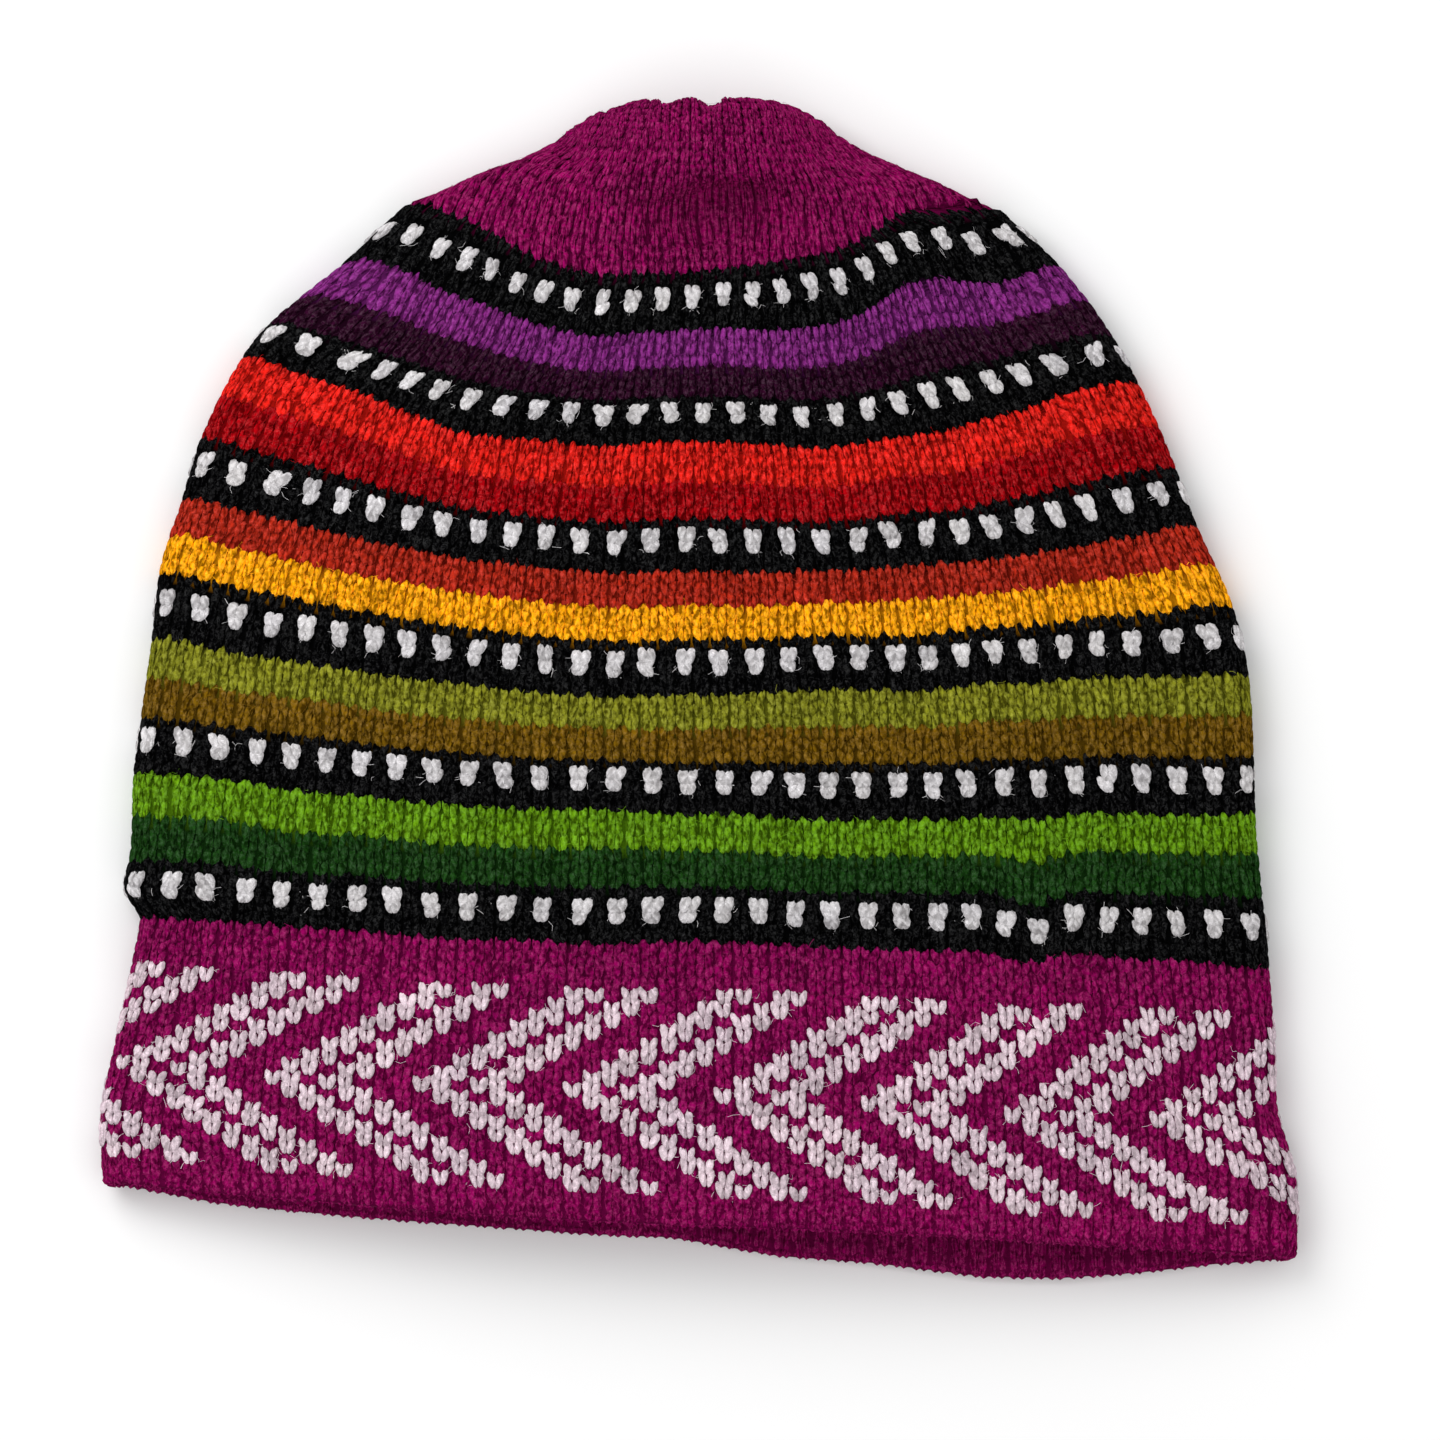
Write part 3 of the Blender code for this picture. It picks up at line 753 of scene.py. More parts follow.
class Recipe:
    """One material, and the method that adds its nodes."""

    def __init__(self, name):
        self.material = bpy.data.materials.new(name)
        self.material.use_nodes = True
        self.tree = self.material.node_tree
        self.shader = self.tree.nodes["Principled BSDF"]

    def node(self, kind, settings, sockets, output=0):
        """Add a node, set it up, then fill or link its sockets."""
        made = self.tree.nodes.new(kind)
        for name, value in settings.items():
            setattr(made, name, value)
        for name, value in sockets.items():
            self.feed(made.inputs[name], value)
        return Field(self, made.outputs[output])

    def feed(self, socket, value):
        """Link a field to a socket, or write a plain value on it."""
        if isinstance(value, Field):
            self.tree.links.new(value.socket, socket)
        else:
            socket.default_value = value

    def blend(self, share, first, second, how="MIX"):
        """Mix two colours."""
        settings = {"data_type": "RGBA", "blend_type": how}
        return self.node("ShaderNodeMix", settings, {0: share, 6: first, 7: second}, 2)

    def attribute(self, name, output):
        return self.node("ShaderNodeAttribute", {"attribute_name": name}, {}, output)

    def noise(self, place, scale, detail, wander=0.0):
        """Cloudy noise read at a place."""
        return self.node("ShaderNodeTexNoise", {"noise_dimensions": "3D"},
                         {"Vector": place, "Scale": scale, "Detail": detail, "Distortion": wander})

    def stretch(self, place, sizes):
        """Scale a place by a different size on each axis."""
        return self.node("ShaderNodeVectorMath", {"operation": "MULTIPLY"}, {0: place, 1: sizes})

    def finish(self, colour, relief, strength, distance):
        """Give the material its colour, its bumps and the roughness of wool."""
        self.feed(self.shader.inputs["Base Color"], colour)
        raised = self.node("ShaderNodeBump", {},
                           {"Strength": strength, "Distance": distance, "Height": relief})
        self.feed(self.shader.inputs["Normal"], raised)
        self.shader.inputs["Roughness"].default_value = WOOL_ROUGHNESS


# %% [markdown]
# Each vertex of a stitch carries two records: yarn, its dyed colour, and fibre, where it sits
# on its strand (across, along, and a number of its own for each stitch). Noise read at fibre,
# stretched lengthways, gives hairs that follow the strand, and a slant gives the yarn's twist.

# %% The wool materials
WOOL_ROUGHNESS = 0.92
HAIR_STRETCH = (2.7, 1.2, 1.0)
PLY_TURNS = 14.0
PLY_WANDER = 9.0
PATCH_SCALE = 60.0
MOTTLE_SCALE = 900.0
CURL_SCALE = 760.0
CURL_WANDER = 1.6
CURL_THIN = 12.0
HAIR_CONTRAST = 2.2
PLY_CONTRAST = 0.5
MOTTLE_CONTRAST = 2.6
LIGHT_SHARE = 0.27
WHITENESS = 2.2
WHITE_LIGHT = 1.14
DARK_COOL = 0.94
PATCH_DARK = (0.80, 0.80, 0.84, 1.0)
PATCH_LIGHT = (1.20, 1.20, 1.14, 1.0)
# Brightening and paling of the curled fibre lines: painted highlight and painted sheen, partly paler
# loose hairs
FIBRE_HIGHLIGHT = 1.9
PALE_FIBRE_SHEEN = 0.035
PLY_RELIEF = 0.5
CURL_RELIEF = 0.4
MOTTLE_RELIEF = 0.6

# dark and light are the two ends of the yarn's blend: darker and lighter hairs, and also painted
# shade and painted highlight
Wool = namedtuple("Wool", "dark light pale")


def grey(value):
    """A colour of one value."""
    return (value, value, value, 1.0)


def wool(name, look):
    """Heathered wool with painted highlight and shade: plies, hairs and loose fibres, soft patches.
    """
    recipe = Recipe(name)
    colour = recipe.attribute("yarn", "Color")
    fibre = recipe.attribute("fibre", "Vector")
    hairs = recipe.noise(recipe.stretch(fibre, HAIR_STRETCH), 1.0, 4.0)
    split = recipe.node("ShaderNodeSeparateXYZ", {}, {0: fibre})
    # The plies are painted lighter on their crests and darker in the grooves between them: painted
    # highlight and painted shade
    plies = ((split * PLY_TURNS) + (hairs * PLY_WANDER)).sine() * 0.5 + 0.5
    place = recipe.node("ShaderNodeTexCoord", {}, {}, "Object")
    cloudy = recipe.noise(place, PATCH_SCALE, 2.0)
    mottled = recipe.noise(place, MOTTLE_SCALE, 3.0)
    share = (hairs - 0.5) * HAIR_CONTRAST + (plies * PLY_CONTRAST)
    share = share + (mottled - 0.5) * MOTTLE_CONTRAST + LIGHT_SHARE
    share.socket.node.use_clamp = True
    # The dark end, slightly tinted, is painted shade as well as dark hairs; the light end is painted
    # highlight as well as light hairs
    dark = (look.dark, look.dark * DARK_COOL, look.dark * DARK_COOL, 1.0)
    shade = recipe.blend(share, dark, grey(look.light))
    # White yarn takes less of this painted shade and highlight: its blend is pulled towards an even
    # grey
    parted = recipe.node("ShaderNodeSeparateColor", {}, {0: colour})
    green, blue = (Field(recipe, parted.socket.node.outputs[part]) for part in (1, 2))
    shade = recipe.blend(green * blue * WHITENESS, shade, grey(WHITE_LIGHT))
    body = recipe.blend(1.0, colour, shade, "MULTIPLY")
    patches = recipe.blend(cloudy, PATCH_DARK, PATCH_LIGHT)
    body = recipe.blend(1.0, body, patches, "MULTIPLY")
    # Curled fibre lines are painted brighter and paler where the blend is light: painted highlight on
    # loose hairs, partly paler hairs
    curls = recipe.noise(place, CURL_SCALE, 2.0, CURL_WANDER)
    strand = (1.0 - (curls - 0.5).size() * CURL_THIN)
    strand.socket.node.use_clamp = True
    lit = recipe.blend(1.0, colour, grey(FIBRE_HIGHLIGHT), "MULTIPLY")
    lit = recipe.blend(1.0, lit, grey(PALE_FIBRE_SHEEN), "ADD")
    body = recipe.blend(strand * share * look.pale, body, lit)
    bumps = hairs + plies * PLY_RELIEF + strand * CURL_RELIEF + mottled * MOTTLE_RELIEF
    recipe.finish(body, bumps, 0.8, 0.4 * MM)
    recipe.shader.inputs["Specular IOR Level"].default_value = 0.0
    return recipe.material


def backing(name, gap_shade):
    """The cloth behind the stitches, darkened as painted shade, with purl bars painted lighter on
    their crests.
    """
    recipe = Recipe(name)
    colour = recipe.attribute("yarn", "Color")
    fibre = recipe.attribute("fibre", "Vector")
    split = recipe.node("ShaderNodeSeparateXYZ", {}, {0: fibre})
    wale, course = split, Field(recipe, split.socket.node.outputs[1])
    bars = (wale * math.pi).sine().size() * (course * math.pi).sine().size()
    hairs = recipe.noise(recipe.stretch(fibre, (2.0, 5.0, 1.0)), 3.0, 4.0)
    # The yarn colour is darkened to between a half and nearly all of it: painted shade of the gaps
    # between the legs, lighter on the crests of the purl bars
    shade = recipe.blend(bars * 0.7 + hairs * 0.3, grey(gap_shade), grey(gap_shade * 1.9))
    recipe.finish(recipe.blend(1.0, colour, shade, "MULTIPLY"), bars + hairs * 0.4, 0.9, 1.2 * MM)
    recipe.shader.inputs["Specular IOR Level"].default_value = 0.02
    return recipe.material


CROWN_WOOL = wool("crown_wool", Wool(dark=0.36, light=1.50, pale=0.90))
STRIPED_WOOL = wool("striped_wool", Wool(dark=0.36, light=1.50, pale=0.80))
BRIM_WOOL = wool("brim_wool", Wool(dark=0.40, light=1.42, pale=0.80))
# 0.50 halves the backing's colour: painted shade of the gaps between the legs and of the hat's inside
BACKING = backing("purl_backing", 0.50)
print("materials:", [material.name for material in (CROWN_WOOL, STRIPED_WOOL, BRIM_WOOL, BACKING)])

# %% [markdown]
# ## Meshes from arrays
#
# The hat has about fifteen thousand stitches. Adding them one by one with an operator would
# take minutes, so every piece is worked out as arrays and written into its mesh at once. Each
# piece also gets a flat map, so that its colours can be baked.

# %% Writing a mesh
NO_TRIANGLES = np.zeros((0, 3), int)


def make_piece(name, points, quads, triangles, yarn, fibre, flat, material):
    """One mesh with its yarn colours, fibre places and flat map."""
    corners = np.concatenate((quads.ravel(), triangles.ravel())).astype(np.int32)
    sizes = np.concatenate((np.full(len(quads), 4), np.full(len(triangles), 3)))
    starts = np.concatenate(([0], np.cumsum(sizes)[:-1])).astype(np.int32)
    mesh = bpy.data.meshes.new(name)
    mesh.vertices.add(len(points))
    mesh.vertices.foreach_set("co", points.astype(np.float32).ravel())
    mesh.loops.add(len(corners))
    mesh.loops.foreach_set("vertex_index", corners)
    mesh.polygons.add(len(sizes))
    mesh.polygons.foreach_set("loop_start", starts)
    mesh.update(calc_edges=True)
    colours = np.column_stack((yarn, np.ones(len(yarn)))).astype(np.float32)
    mesh.attributes.new("yarn", "FLOAT_COLOR", "POINT").data.foreach_set("color", colours.ravel())
    place = mesh.attributes.new("fibre", "FLOAT_VECTOR", "POINT")
    place.data.foreach_set("vector", fibre.astype(np.float32).ravel())
    mesh.uv_layers.new(name="OFBake").data.foreach_set("uv", flat[corners].astype(np.float32).ravel())
    mesh.materials.append(material)
    mesh.shade_smooth()
    piece = bpy.data.objects.new(name, mesh)
    bpy.context.scene.collection.objects.link(piece)
    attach(piece, "root")
    print(f"{name}: {len(quads) * 2 + len(triangles)} triangles")
    return piece


# %% [markdown]
# ## One leg of a stitch
#
# The visible part of a knit stitch is a V of two plump legs. Each leg leaves the stitch below
# near the middle of the wale, swells forwards, leans out, and dives behind the feet of the next
# stitch. A leg is modelled as half a tube with pointed ends, because its back is never seen.
# Real yarn is squashed by its neighbours, so the legs are wide enough to touch.

# %% The leg as arrays
WALE = 3.7 * MM
LEG_FOOT = (0.09, -0.30)
LEG_TOP = (0.345, 1.22)
LEG_HALF_WIDTH = 0.98 * MM
LEG_ARCH = 0.50 * MM
LEG_ROUND = 0.50

Swell = namedtuple("Swell", "along width arch")
LEG_SWELL = Swell(along=(0.00, 0.15, 0.45, 0.75, 0.92, 1.00),
                  width=(0.32, 0.62, 0.98, 0.94, 0.62, 0.30),
                  arch=(0.80, 0.95, 1.00, 0.75, 0.35, 0.10))
YARN_HEIGHT = LEG_ARCH + LEG_ROUND * LEG_HALF_WIDTH

Leg = namedtuple("Leg", "centre across onward height along side quads triangles")


def leg_shape(rings, angles):
    """A leg's vertices in wales, courses and metres, with its faces."""
    s = np.repeat(rings, len(angles))
    turn = np.radians(np.tile(angles, len(rings)))
    run = (LEG_TOP[0] - LEG_FOOT[0]) * WALE, (LEG_TOP[1] - LEG_FOOT[1]) * BRIM_COURSE
    length = math.hypot(*run)
    half = LEG_HALF_WIDTH * np.interp(s, LEG_SWELL.along, LEG_SWELL.width)
    offset = half * np.cos(turn)
    centre = LEG_FOOT[0] + (LEG_TOP[0] - LEG_FOOT[0]) * s
    across = centre + offset * run[1] / length / WALE
    onward = LEG_FOOT[1] + (LEG_TOP[1] - LEG_FOOT[1]) * s - offset * run[0] / length / BRIM_COURSE
    arch = LEG_ARCH * np.interp(s, LEG_SWELL.along, LEG_SWELL.arch)
    height = arch + LEG_ROUND * half * np.sin(turn)
    ends_across = np.array((LEG_FOOT[0], LEG_TOP[0]))
    ends_onward = np.array((LEG_FOOT[1], LEG_TOP[1]))
    count = len(angles)
    corners = np.array((0, 1, count + 1, count))
    quads = [corners + ring * count + k for ring in range(len(rings) - 1) for k in range(count - 1)]
    foot, top = len(s), len(s) + 1
    last = (len(rings) - 1) * count
    triangles = [(foot, k + 1, k) for k in range(count - 1)]
    triangles += [(top, last + k, last + k + 1) for k in range(count - 1)]
    return Leg(np.concatenate((centre, ends_across)), np.concatenate((across, ends_across)),
               np.concatenate((onward, ends_onward)),
               np.concatenate((height, (LEG_ARCH * 0.6, -LEG_ARCH * 0.2))) - YARN_HEIGHT,
               np.concatenate((s, (0.0, 1.0))),
               np.concatenate((np.tile(np.linspace(0, 1, count), len(rings)), (0.5, 0.5))),
               np.array(quads), np.array(triangles))


FINE_LEG = leg_shape(np.array((0.10, 0.34, 0.66, 0.92)), np.array((205, 130, 50, -25)))
PLAIN_LEG = leg_shape(np.array((0.12, 0.38, 0.66, 0.90)), np.array((200, 90, -20)))
print("a stitch stands", round(YARN_HEIGHT / MM, 2), "mm over its backing, and has",
      2 * (2 * len(FINE_LEG.quads) + len(FINE_LEG.triangles)), "triangles")

# %% [markdown]
# ## Laying the stitches
#
# The stitches of a piece are laid at once. Each is nudged, tilted, and made a little fuller or
# thinner by seeded chance, as in real knitting, and the courses drift in soft waves. Two tables
# bring the stripes to where the photograph shows them: one moves whole courses up or down, the
# other lets them sag in places on the front, both in courses. Beside the side crease the courses
# are dragged down towards the brim, and near the right fold the brim's wales are pulled left.

# %% Where the stitches lie
Nudges = namedtuple("Nudges", "courses shifts")
NUDGES = Nudges(
    courses=(0, 3, 20, 24, 29, 32, 35, 40, 43, 46, 62, 65, 68, 73, 76, 79, 102),
    shifts=(0, -0.9, 0, 0, 0.2, 0.4, 0.4, 0.4, 0.3, 0, -0.1, 0.1, 0.5, -0.5, -0.4, 0, 0))

SAG_X = (-0.10, -0.075, -0.05, -0.025, 0.0, 0.025, 0.05, 0.075, 0.10)
SAG_COURSES = (0, 11, 24, 35, 46, 57, 68, 73, 79, 84, 92, 102)
SAGS = np.array((
    (0.0, 0.0, 0.0, 0.0, 0.0, 0.0, 0.0, 0.0, 0.0),
    (-0.8, -0.6, -0.3, -0.2, -0.2, -0.3, -0.7, -0.8, -0.8),
    (0.0, -0.1, -0.5, -0.5, -0.1, -0.2, 0.0, 0.5, 0.3),
    (-0.2, -0.6, -0.9, -0.6, -0.9, -1.1, -0.9, 0.1, -0.3),
    (0.1, -0.3, -0.4, -0.8, -0.4, 0.2, 0.2, 0.9, 0.8),
    (-0.1, -0.1, -0.6, -0.8, -0.4, -0.4, -0.4, 0.0, 0.0),
    (-0.5, -0.7, -2.0, -1.9, -1.1, -1.8, -1.2, 0.0, 0.0),
    (0.8, 0.5, -0.5, -0.9, 0.0, -0.9, 0.5, 1.3, 1.0),
    (1.5, 1.4, -0.2, -1.3, -0.4, -0.7, 1.6, -0.2, 0.0),
    (0.0, 0.0, 0.0, -1.7, -0.9, 0.0, 1.6, 0.0, 0.0),
    (0.0, 0.0, 0.0, -0.6, -0.3, 0.0, 0.3, 0.0, 0.0),
    (0.0, 0.0, 0.0, 0.0, 0.0, 0.0, 0.0, 0.0, 0.0),
))
DRAG_COURSES = 1.3
DRAG_ABOVE = 0.35
DRAG_FOOT = 18
DRAG_MIDDLE = 27
DRAG_TALL = 7
DRAG_WIDE = 7 * MM
DRAG_ASIDE = 6 * MM
PULL = 0.011
PULL_PLACE = 0.46
PULL_WIDE = 0.13
PULL_FADES = 30
COURSE_DRIFT = 0.22
WALE_DRIFT = 0.0016
COURSE_WAVES = Waves(11, 7, (3, 17), (18, 70))
WALE_WAVES = Waves(23, 7, (2, 9), (12, 50))


def sagging(x, course):
    """How many courses the front's rows sit above their even places."""
    row = np.interp(course, SAG_COURSES, np.arange(len(SAG_COURSES)))
    column = np.interp(x, SAG_X, np.arange(len(SAG_X)))
    share = column - np.floor(column)
    return between(SAGS, row, np.floor(column) + share ** 2 * (3 - 2 * share))


def drifted(around, course):
    """Where a stitch of the chart really lies."""
    x = on_cloth(around, course, np.zeros_like(around))[..., 0]
    aside = bump((x - crease_x(course) + DRAG_ASIDE) / DRAG_WIDE)
    drag = bump((course - DRAG_MIDDLE) / DRAG_TALL) * DRAG_COURSES
    drag = (drag + DRAG_ABOVE * (course > DRAG_FOOT)) * aside
    shift = np.interp(course, *NUDGES) - drag * (around < 0.5) * (course < CROWN_FOOT)
    shift = shift + sagging(x, course) * on_front(around, SOFT_FOLD)
    course = course + shift + COURSE_DRIFT * waves(around, course, COURSE_WAVES)
    low = np.clip((BRIM_COURSES + PULL_FADES - course) / PULL_FADES, 0.0, 1.0)
    around = around - PULL * low * bump((np.mod(around, 1.0) - PULL_PLACE) / PULL_WIDE)
    around = around + WALE_DRIFT * waves(around, course, WALE_WAVES)
    return around, course


Plan = namedtuple("Plan", "place course yarn pitch dot heel rear tall")
FOLD_PROBE = 0.4
SQUATTEST = 0.6
TALLEST = 1.1


def charted(first, last):
    """The chart's stitches from one course up to another, evenly spread."""
    rows = []
    for number in range(first, last):
        count = wales_of(number)
        wales = np.arange(count)
        place = (wales + 0.5) / count
        yarn = chart(number, wales)
        dot = (yarn == YARN_NAMES.index("white")) & (number >= BRIM_COURSES)
        heel = dot & (chart(number - 1, wales) != yarn)
        rows.append((place, np.full(count, float(number)), yarn, np.full(count, 1 / count),
                     dot, heel, place >= 0.5, np.ones(count)))
    return Plan(*(np.concatenate(column) for column in zip(*rows)))


def stitch_plan(first, last):
    """Every stitch where it lies on the hat, and which of them pass no side fold."""
    plan = charted(first, last)
    place, course = drifted(plan.place, plan.course)
    rear = np.mod(place, 1.0) >= 0.5
    kept = np.ones(len(place), bool)
    if first >= CROWN_FOOT:
        kept = ~upright(place, course + FOLD_PROBE, rear)[1]
    ahead, behind = (on_cloth(place, course + half, 0.0 * place) for half in (0.5, -0.5))
    tall = BRIM_COURSE / np.linalg.norm(ahead - behind, axis=1)
    tall = np.clip(tall, SQUATTEST, TALLEST)
    shift = (1 - tall) * np.where(plan.heel, HEEL_CLOSING, DOT_CLOSING) - DOT_SINK
    course = course + np.where(plan.dot, shift, 0.0)
    tall = np.where(plan.dot, tall, 1.0)
    return plan._replace(place=place, course=course, rear=rear, tall=tall), kept


def true_place(around, course, rear, first):
    """Where a place of a piece lies once its wales run true."""
    if first >= CROWN_FOOT:
        return upright(around, course, rear)[0]
    return steadied(around, course)


# %% [markdown]
# The right leg of a V is the left leg mirrored. On a flat map every stitch has a small square
# of its own, with one leg in each half, so that the colours of no two legs meet.

# %% Laying stitches on the cloth
FACING_FOOT = -27
LEAN = 0.05
DOT_LEAN = 1.2
UNEVEN_WIDTH = 0.06
UNEVEN_HEIGHT = 0.05
UNEVEN_PLACE = 0.035
UNEVEN_DEPTH = 0.10 * MM
UNEVEN_DYE = 0.07
UNEVEN_LEG = 0.05
YARN_TWIST = 0.8
FLAT_EDGE_X = 0.08
FLAT_EDGE_Y = 0.06


def by_kind(plan, heel, dot, white, plain):
    """One of four values for each stitch, as a column."""
    is_white = np.isin(plan.yarn, WHITES)
    value = np.where(plan.dot, dot, np.where(is_white, white, plain))
    return np.where(plan.heel, heel, value)[:, None]


def both_legs(faces, count, size):
    """The faces of all left legs, turned around, and of all right legs."""
    starts = np.arange(count)[:, None, None] * size
    left, right = faces[None, :, ::-1] + starts, faces[None] + starts + count * size
    return np.concatenate((left, right)).reshape(-1, faces.shape[1])


def stitches(name, first, last, leg, material, seed):
    """A piece with every stitch from one course up to another."""
    chance = np.random.default_rng(seed)
    plan, kept = stitch_plan(first, last)
    plan = Plan(*(column[kept] for column in plan))
    count = len(plan.place)
    spread = by_kind(plan, HEEL_SPREAD, DOT_SPREAD, 1.0, 1.0)
    swell = by_kind(plan, HEEL_SWELL, DOT_SWELL, WHITE_SWELL, 1.0)
    raised = by_kind(plan, DOT_RAISE, DOT_RAISE, WHITE_RAISE, 0.0)
    blunt = by_kind(plan, HEEL_BLUNT, 0.0, 0.0, 0.0)
    tall = by_kind(plan, DOT_TALL, DOT_TALL, 1.0, 1.0) * plan.tall[:, None]
    lean = chance.normal(0, LEAN, count) * (1 + DOT_LEAN * plan.dot)
    fuller = 1 + chance.normal(0, UNEVEN_WIDTH, count)
    taller = 1 + chance.normal(0, UNEVEN_HEIGHT, count)
    aside = chance.normal(0, UNEVEN_PLACE, count)
    lower = chance.normal(0, UNEVEN_PLACE, count)
    sunk = np.abs(chance.normal(0, UNEVEN_DEPTH, count))
    tint = 1 + chance.normal(0, UNEVEN_DYE, count)
    onward = (plan.course + lower)[:, None] + leg.onward * taller[:, None] * tall
    onward += blunt * (1 - leg.along) ** 2
    height = leg.height - sunk[:, None] + raised
    cells = math.ceil(math.sqrt(count))
    cell_x, cell_y = np.arange(count)[:, None] % cells, np.arange(count)[:, None] // cells
    points, fibres, flats = [], [], []
    for side in (-1, 1):
        own = 1 + chance.normal(0, UNEVEN_LEG, count)
        across = leg.centre * spread + (leg.across - leg.centre) * swell
        across = side * across * (fuller * own)[:, None] + lean[:, None] * leg.onward
        around = plan.place[:, None] + (across + aside[:, None]) * plan.pitch[:, None]
        around = true_place(around, onward, plan.rear[:, None], first)
        points.append(on_cloth(around, onward, height))
        seeds = chance.uniform(0, 100, count)[:, None] + 0 * across
        fibres.append(np.stack((leg.side + YARN_TWIST * leg.along + seeds,
                                leg.along + seeds, seeds), axis=2))
        flat_x = 0.5 * (side > 0) + 0.5 * (FLAT_EDGE_X + (1 - 2 * FLAT_EDGE_X) * leg.side)
        flat_x = (cell_x + flat_x) / cells
        flat_y = (cell_y + FLAT_EDGE_Y + (1 - 2 * FLAT_EDGE_Y) * leg.along) / cells
        flats.append(np.stack((flat_x, flat_y), axis=2))
    size = len(leg.across)
    colours = np.repeat(PALETTE[plan.yarn] * tint[:, None], size, axis=0)
    points = np.concatenate(points).reshape(-1, 3)
    points[:, 2] = np.maximum(points[:, 2], 0.0)
    return make_piece(name, points,
                      both_legs(leg.quads, count, size), both_legs(leg.triangles, count, size),
                      np.concatenate((colours, colours)),
                      np.concatenate(fibres).reshape(-1, 3),
                      np.concatenate(flats).reshape(-1, 2), material)


BRIM_STITCHES = stitches("chevron_stitches", 0, BRIM_COURSES, FINE_LEG, BRIM_WOOL, 1)
FACING_STITCHES = stitches("hem_facing_stitches", FACING_FOOT, 0, PLAIN_LEG, BRIM_WOOL,
                           2)
for number, pair in enumerate(PAIRS):
    stitches(f"{pair.name}_stripe_stitches", PAIR_FEET[number],
                                PAIR_FEET[number + 1], FINE_LEG, STRIPED_WOOL,
                                3 + number)
stitches("top_dot_stitches", PAIR_FEET[-1], CROWN_FOOT, FINE_LEG,
                            STRIPED_WOOL, 8)
CROWN_STITCHES = stitches("crown_stitches", CROWN_FOOT, LAST_COURSE, FINE_LEG, CROWN_WOOL,
                          9)

# %% [markdown]
# ## Fuzz
#
# Wool is never clean at its edges: loose hairs bridge the gaps and blur each change of colour.
# Each hair here is a very thin ribbon of three cross lines that starts on a stitch, takes its
# colour, and bends over its neighbours. White stitches get more of them, since theirs show.

# %% Loose hairs
HAIR_WIDTH = 0.06 * MM
HAIR_LONG = (1.0 * MM, 2.6 * MM)
HAIR_LIFT = 0.35 * MM
HAIRS_PER_STITCH = 1.2
HAIRS_PER_WHITE = 4.0
HAIR_TINT = 1.25
HAIR_BEND = 0.9
HAIR_ASIDE = 0.28
HAIR_DEPTH = 0.35 * MM
HAIR_DROOP = 0.8
HAIR_BEHIND = 0.3


def fuzz(name, first, last, material, seed):
    """Loose hairs over the stitches from one course up to another."""
    chance = np.random.default_rng(seed)
    plan, kept = stitch_plan(first, last)
    white = np.isin(plan.yarn, WHITES)
    share = np.where(white, HAIRS_PER_WHITE, HAIRS_PER_STITCH) * kept
    number = np.floor(share + chance.uniform(0, 1, len(share)) * (share > 0)).astype(int)
    plan = Plan(*(np.repeat(column, number) for column in plan))
    count = len(plan.place)
    way = chance.uniform(0, 2 * math.pi, count)
    length = chance.uniform(*HAIR_LONG, count)
    bend = chance.normal(0, HAIR_BEND, count)
    start_x = chance.normal(0, HAIR_ASIDE, count) * WALE
    start_y = chance.uniform(-0.1, 1.1, count) * BRIM_COURSE
    lift = chance.uniform(-0.3, 1.0, count) * HAIR_LIFT
    sides = []
    for edge in (-0.5, 0.5):
        for step in (0.0, 0.5, 1.0):
            angle = way + bend * (step - 0.5)
            reach = length * (step - HAIR_BEHIND)
            x = start_x + np.cos(angle) * reach - np.sin(way) * HAIR_WIDTH * edge
            y = start_y + np.sin(angle) * reach + np.cos(way) * HAIR_WIDTH * edge
            around = plan.place + x / WALE * plan.pitch
            onward = plan.course + y * plan.tall / BRIM_COURSE
            around = true_place(around, onward, plan.rear, first)
            height = lift * (1 - abs(2 * step - 1) * HAIR_DROOP) - HAIR_DEPTH
            sides.append(on_cloth(around, onward, height))
    points = np.stack(sides, axis=1).reshape(-1, 3)
    points[:, 2] = np.maximum(points[:, 2], 0.0)
    base = np.arange(count)[:, None] * 6
    quads = np.concatenate((base + np.array((0, 1, 4, 3)), base + np.array((1, 2, 5, 4))))
    colours = np.repeat(PALETTE[plan.yarn] * HAIR_TINT, 6, axis=0)
    seeds = np.repeat(chance.uniform(0, 100, count), 6)
    fibres = np.column_stack((seeds, seeds, seeds))
    cells = math.ceil(math.sqrt(count))
    corner_x = np.tile((0.1, 0.5, 0.9, 0.1, 0.5, 0.9), count)
    corner_y = np.tile((0.1, 0.1, 0.1, 0.9, 0.9, 0.9), count)
    cell = np.repeat(np.arange(count), 6)
    flat = np.column_stack(((cell % cells + corner_x) / cells, (cell // cells + corner_y) / cells))
    return make_piece(name, points, quads, NO_TRIANGLES, colours, fibres, flat, material)


BRIM_FUZZ = fuzz("brim_fuzz", 0, BRIM_COURSES, BRIM_WOOL, 21)
BODY_FUZZ = fuzz("body_fuzz", BRIM_COURSES, CROWN_FOOT, STRIPED_WOOL, 22)
CROWN_FUZZ = fuzz("crown_fuzz", CROWN_FOOT, LAST_COURSE, CROWN_WOOL, 23)

# %% [markdown]
# ## The cloth behind the stitches
#
# Between the legs one sees into the cloth, and from the mouth one sees its purl side. A backing
# sheet lies just under the stitches: one closed skin for the body and one for the crown, with
# the purl side as its inner face. The brim's backing is one strip that turns at the hem. In the
# pinch the crown's outer skin dips a little behind the last stitches. A hole of about six
# millimetres is left there, which shows from behind only.

# %% Backing sheets
BACK_COLUMNS = 192
TUCK = 3.0 * MM
OUTER = -YARN_HEIGHT - 0.05 * MM
HEM_FILL = 0.55 * MM


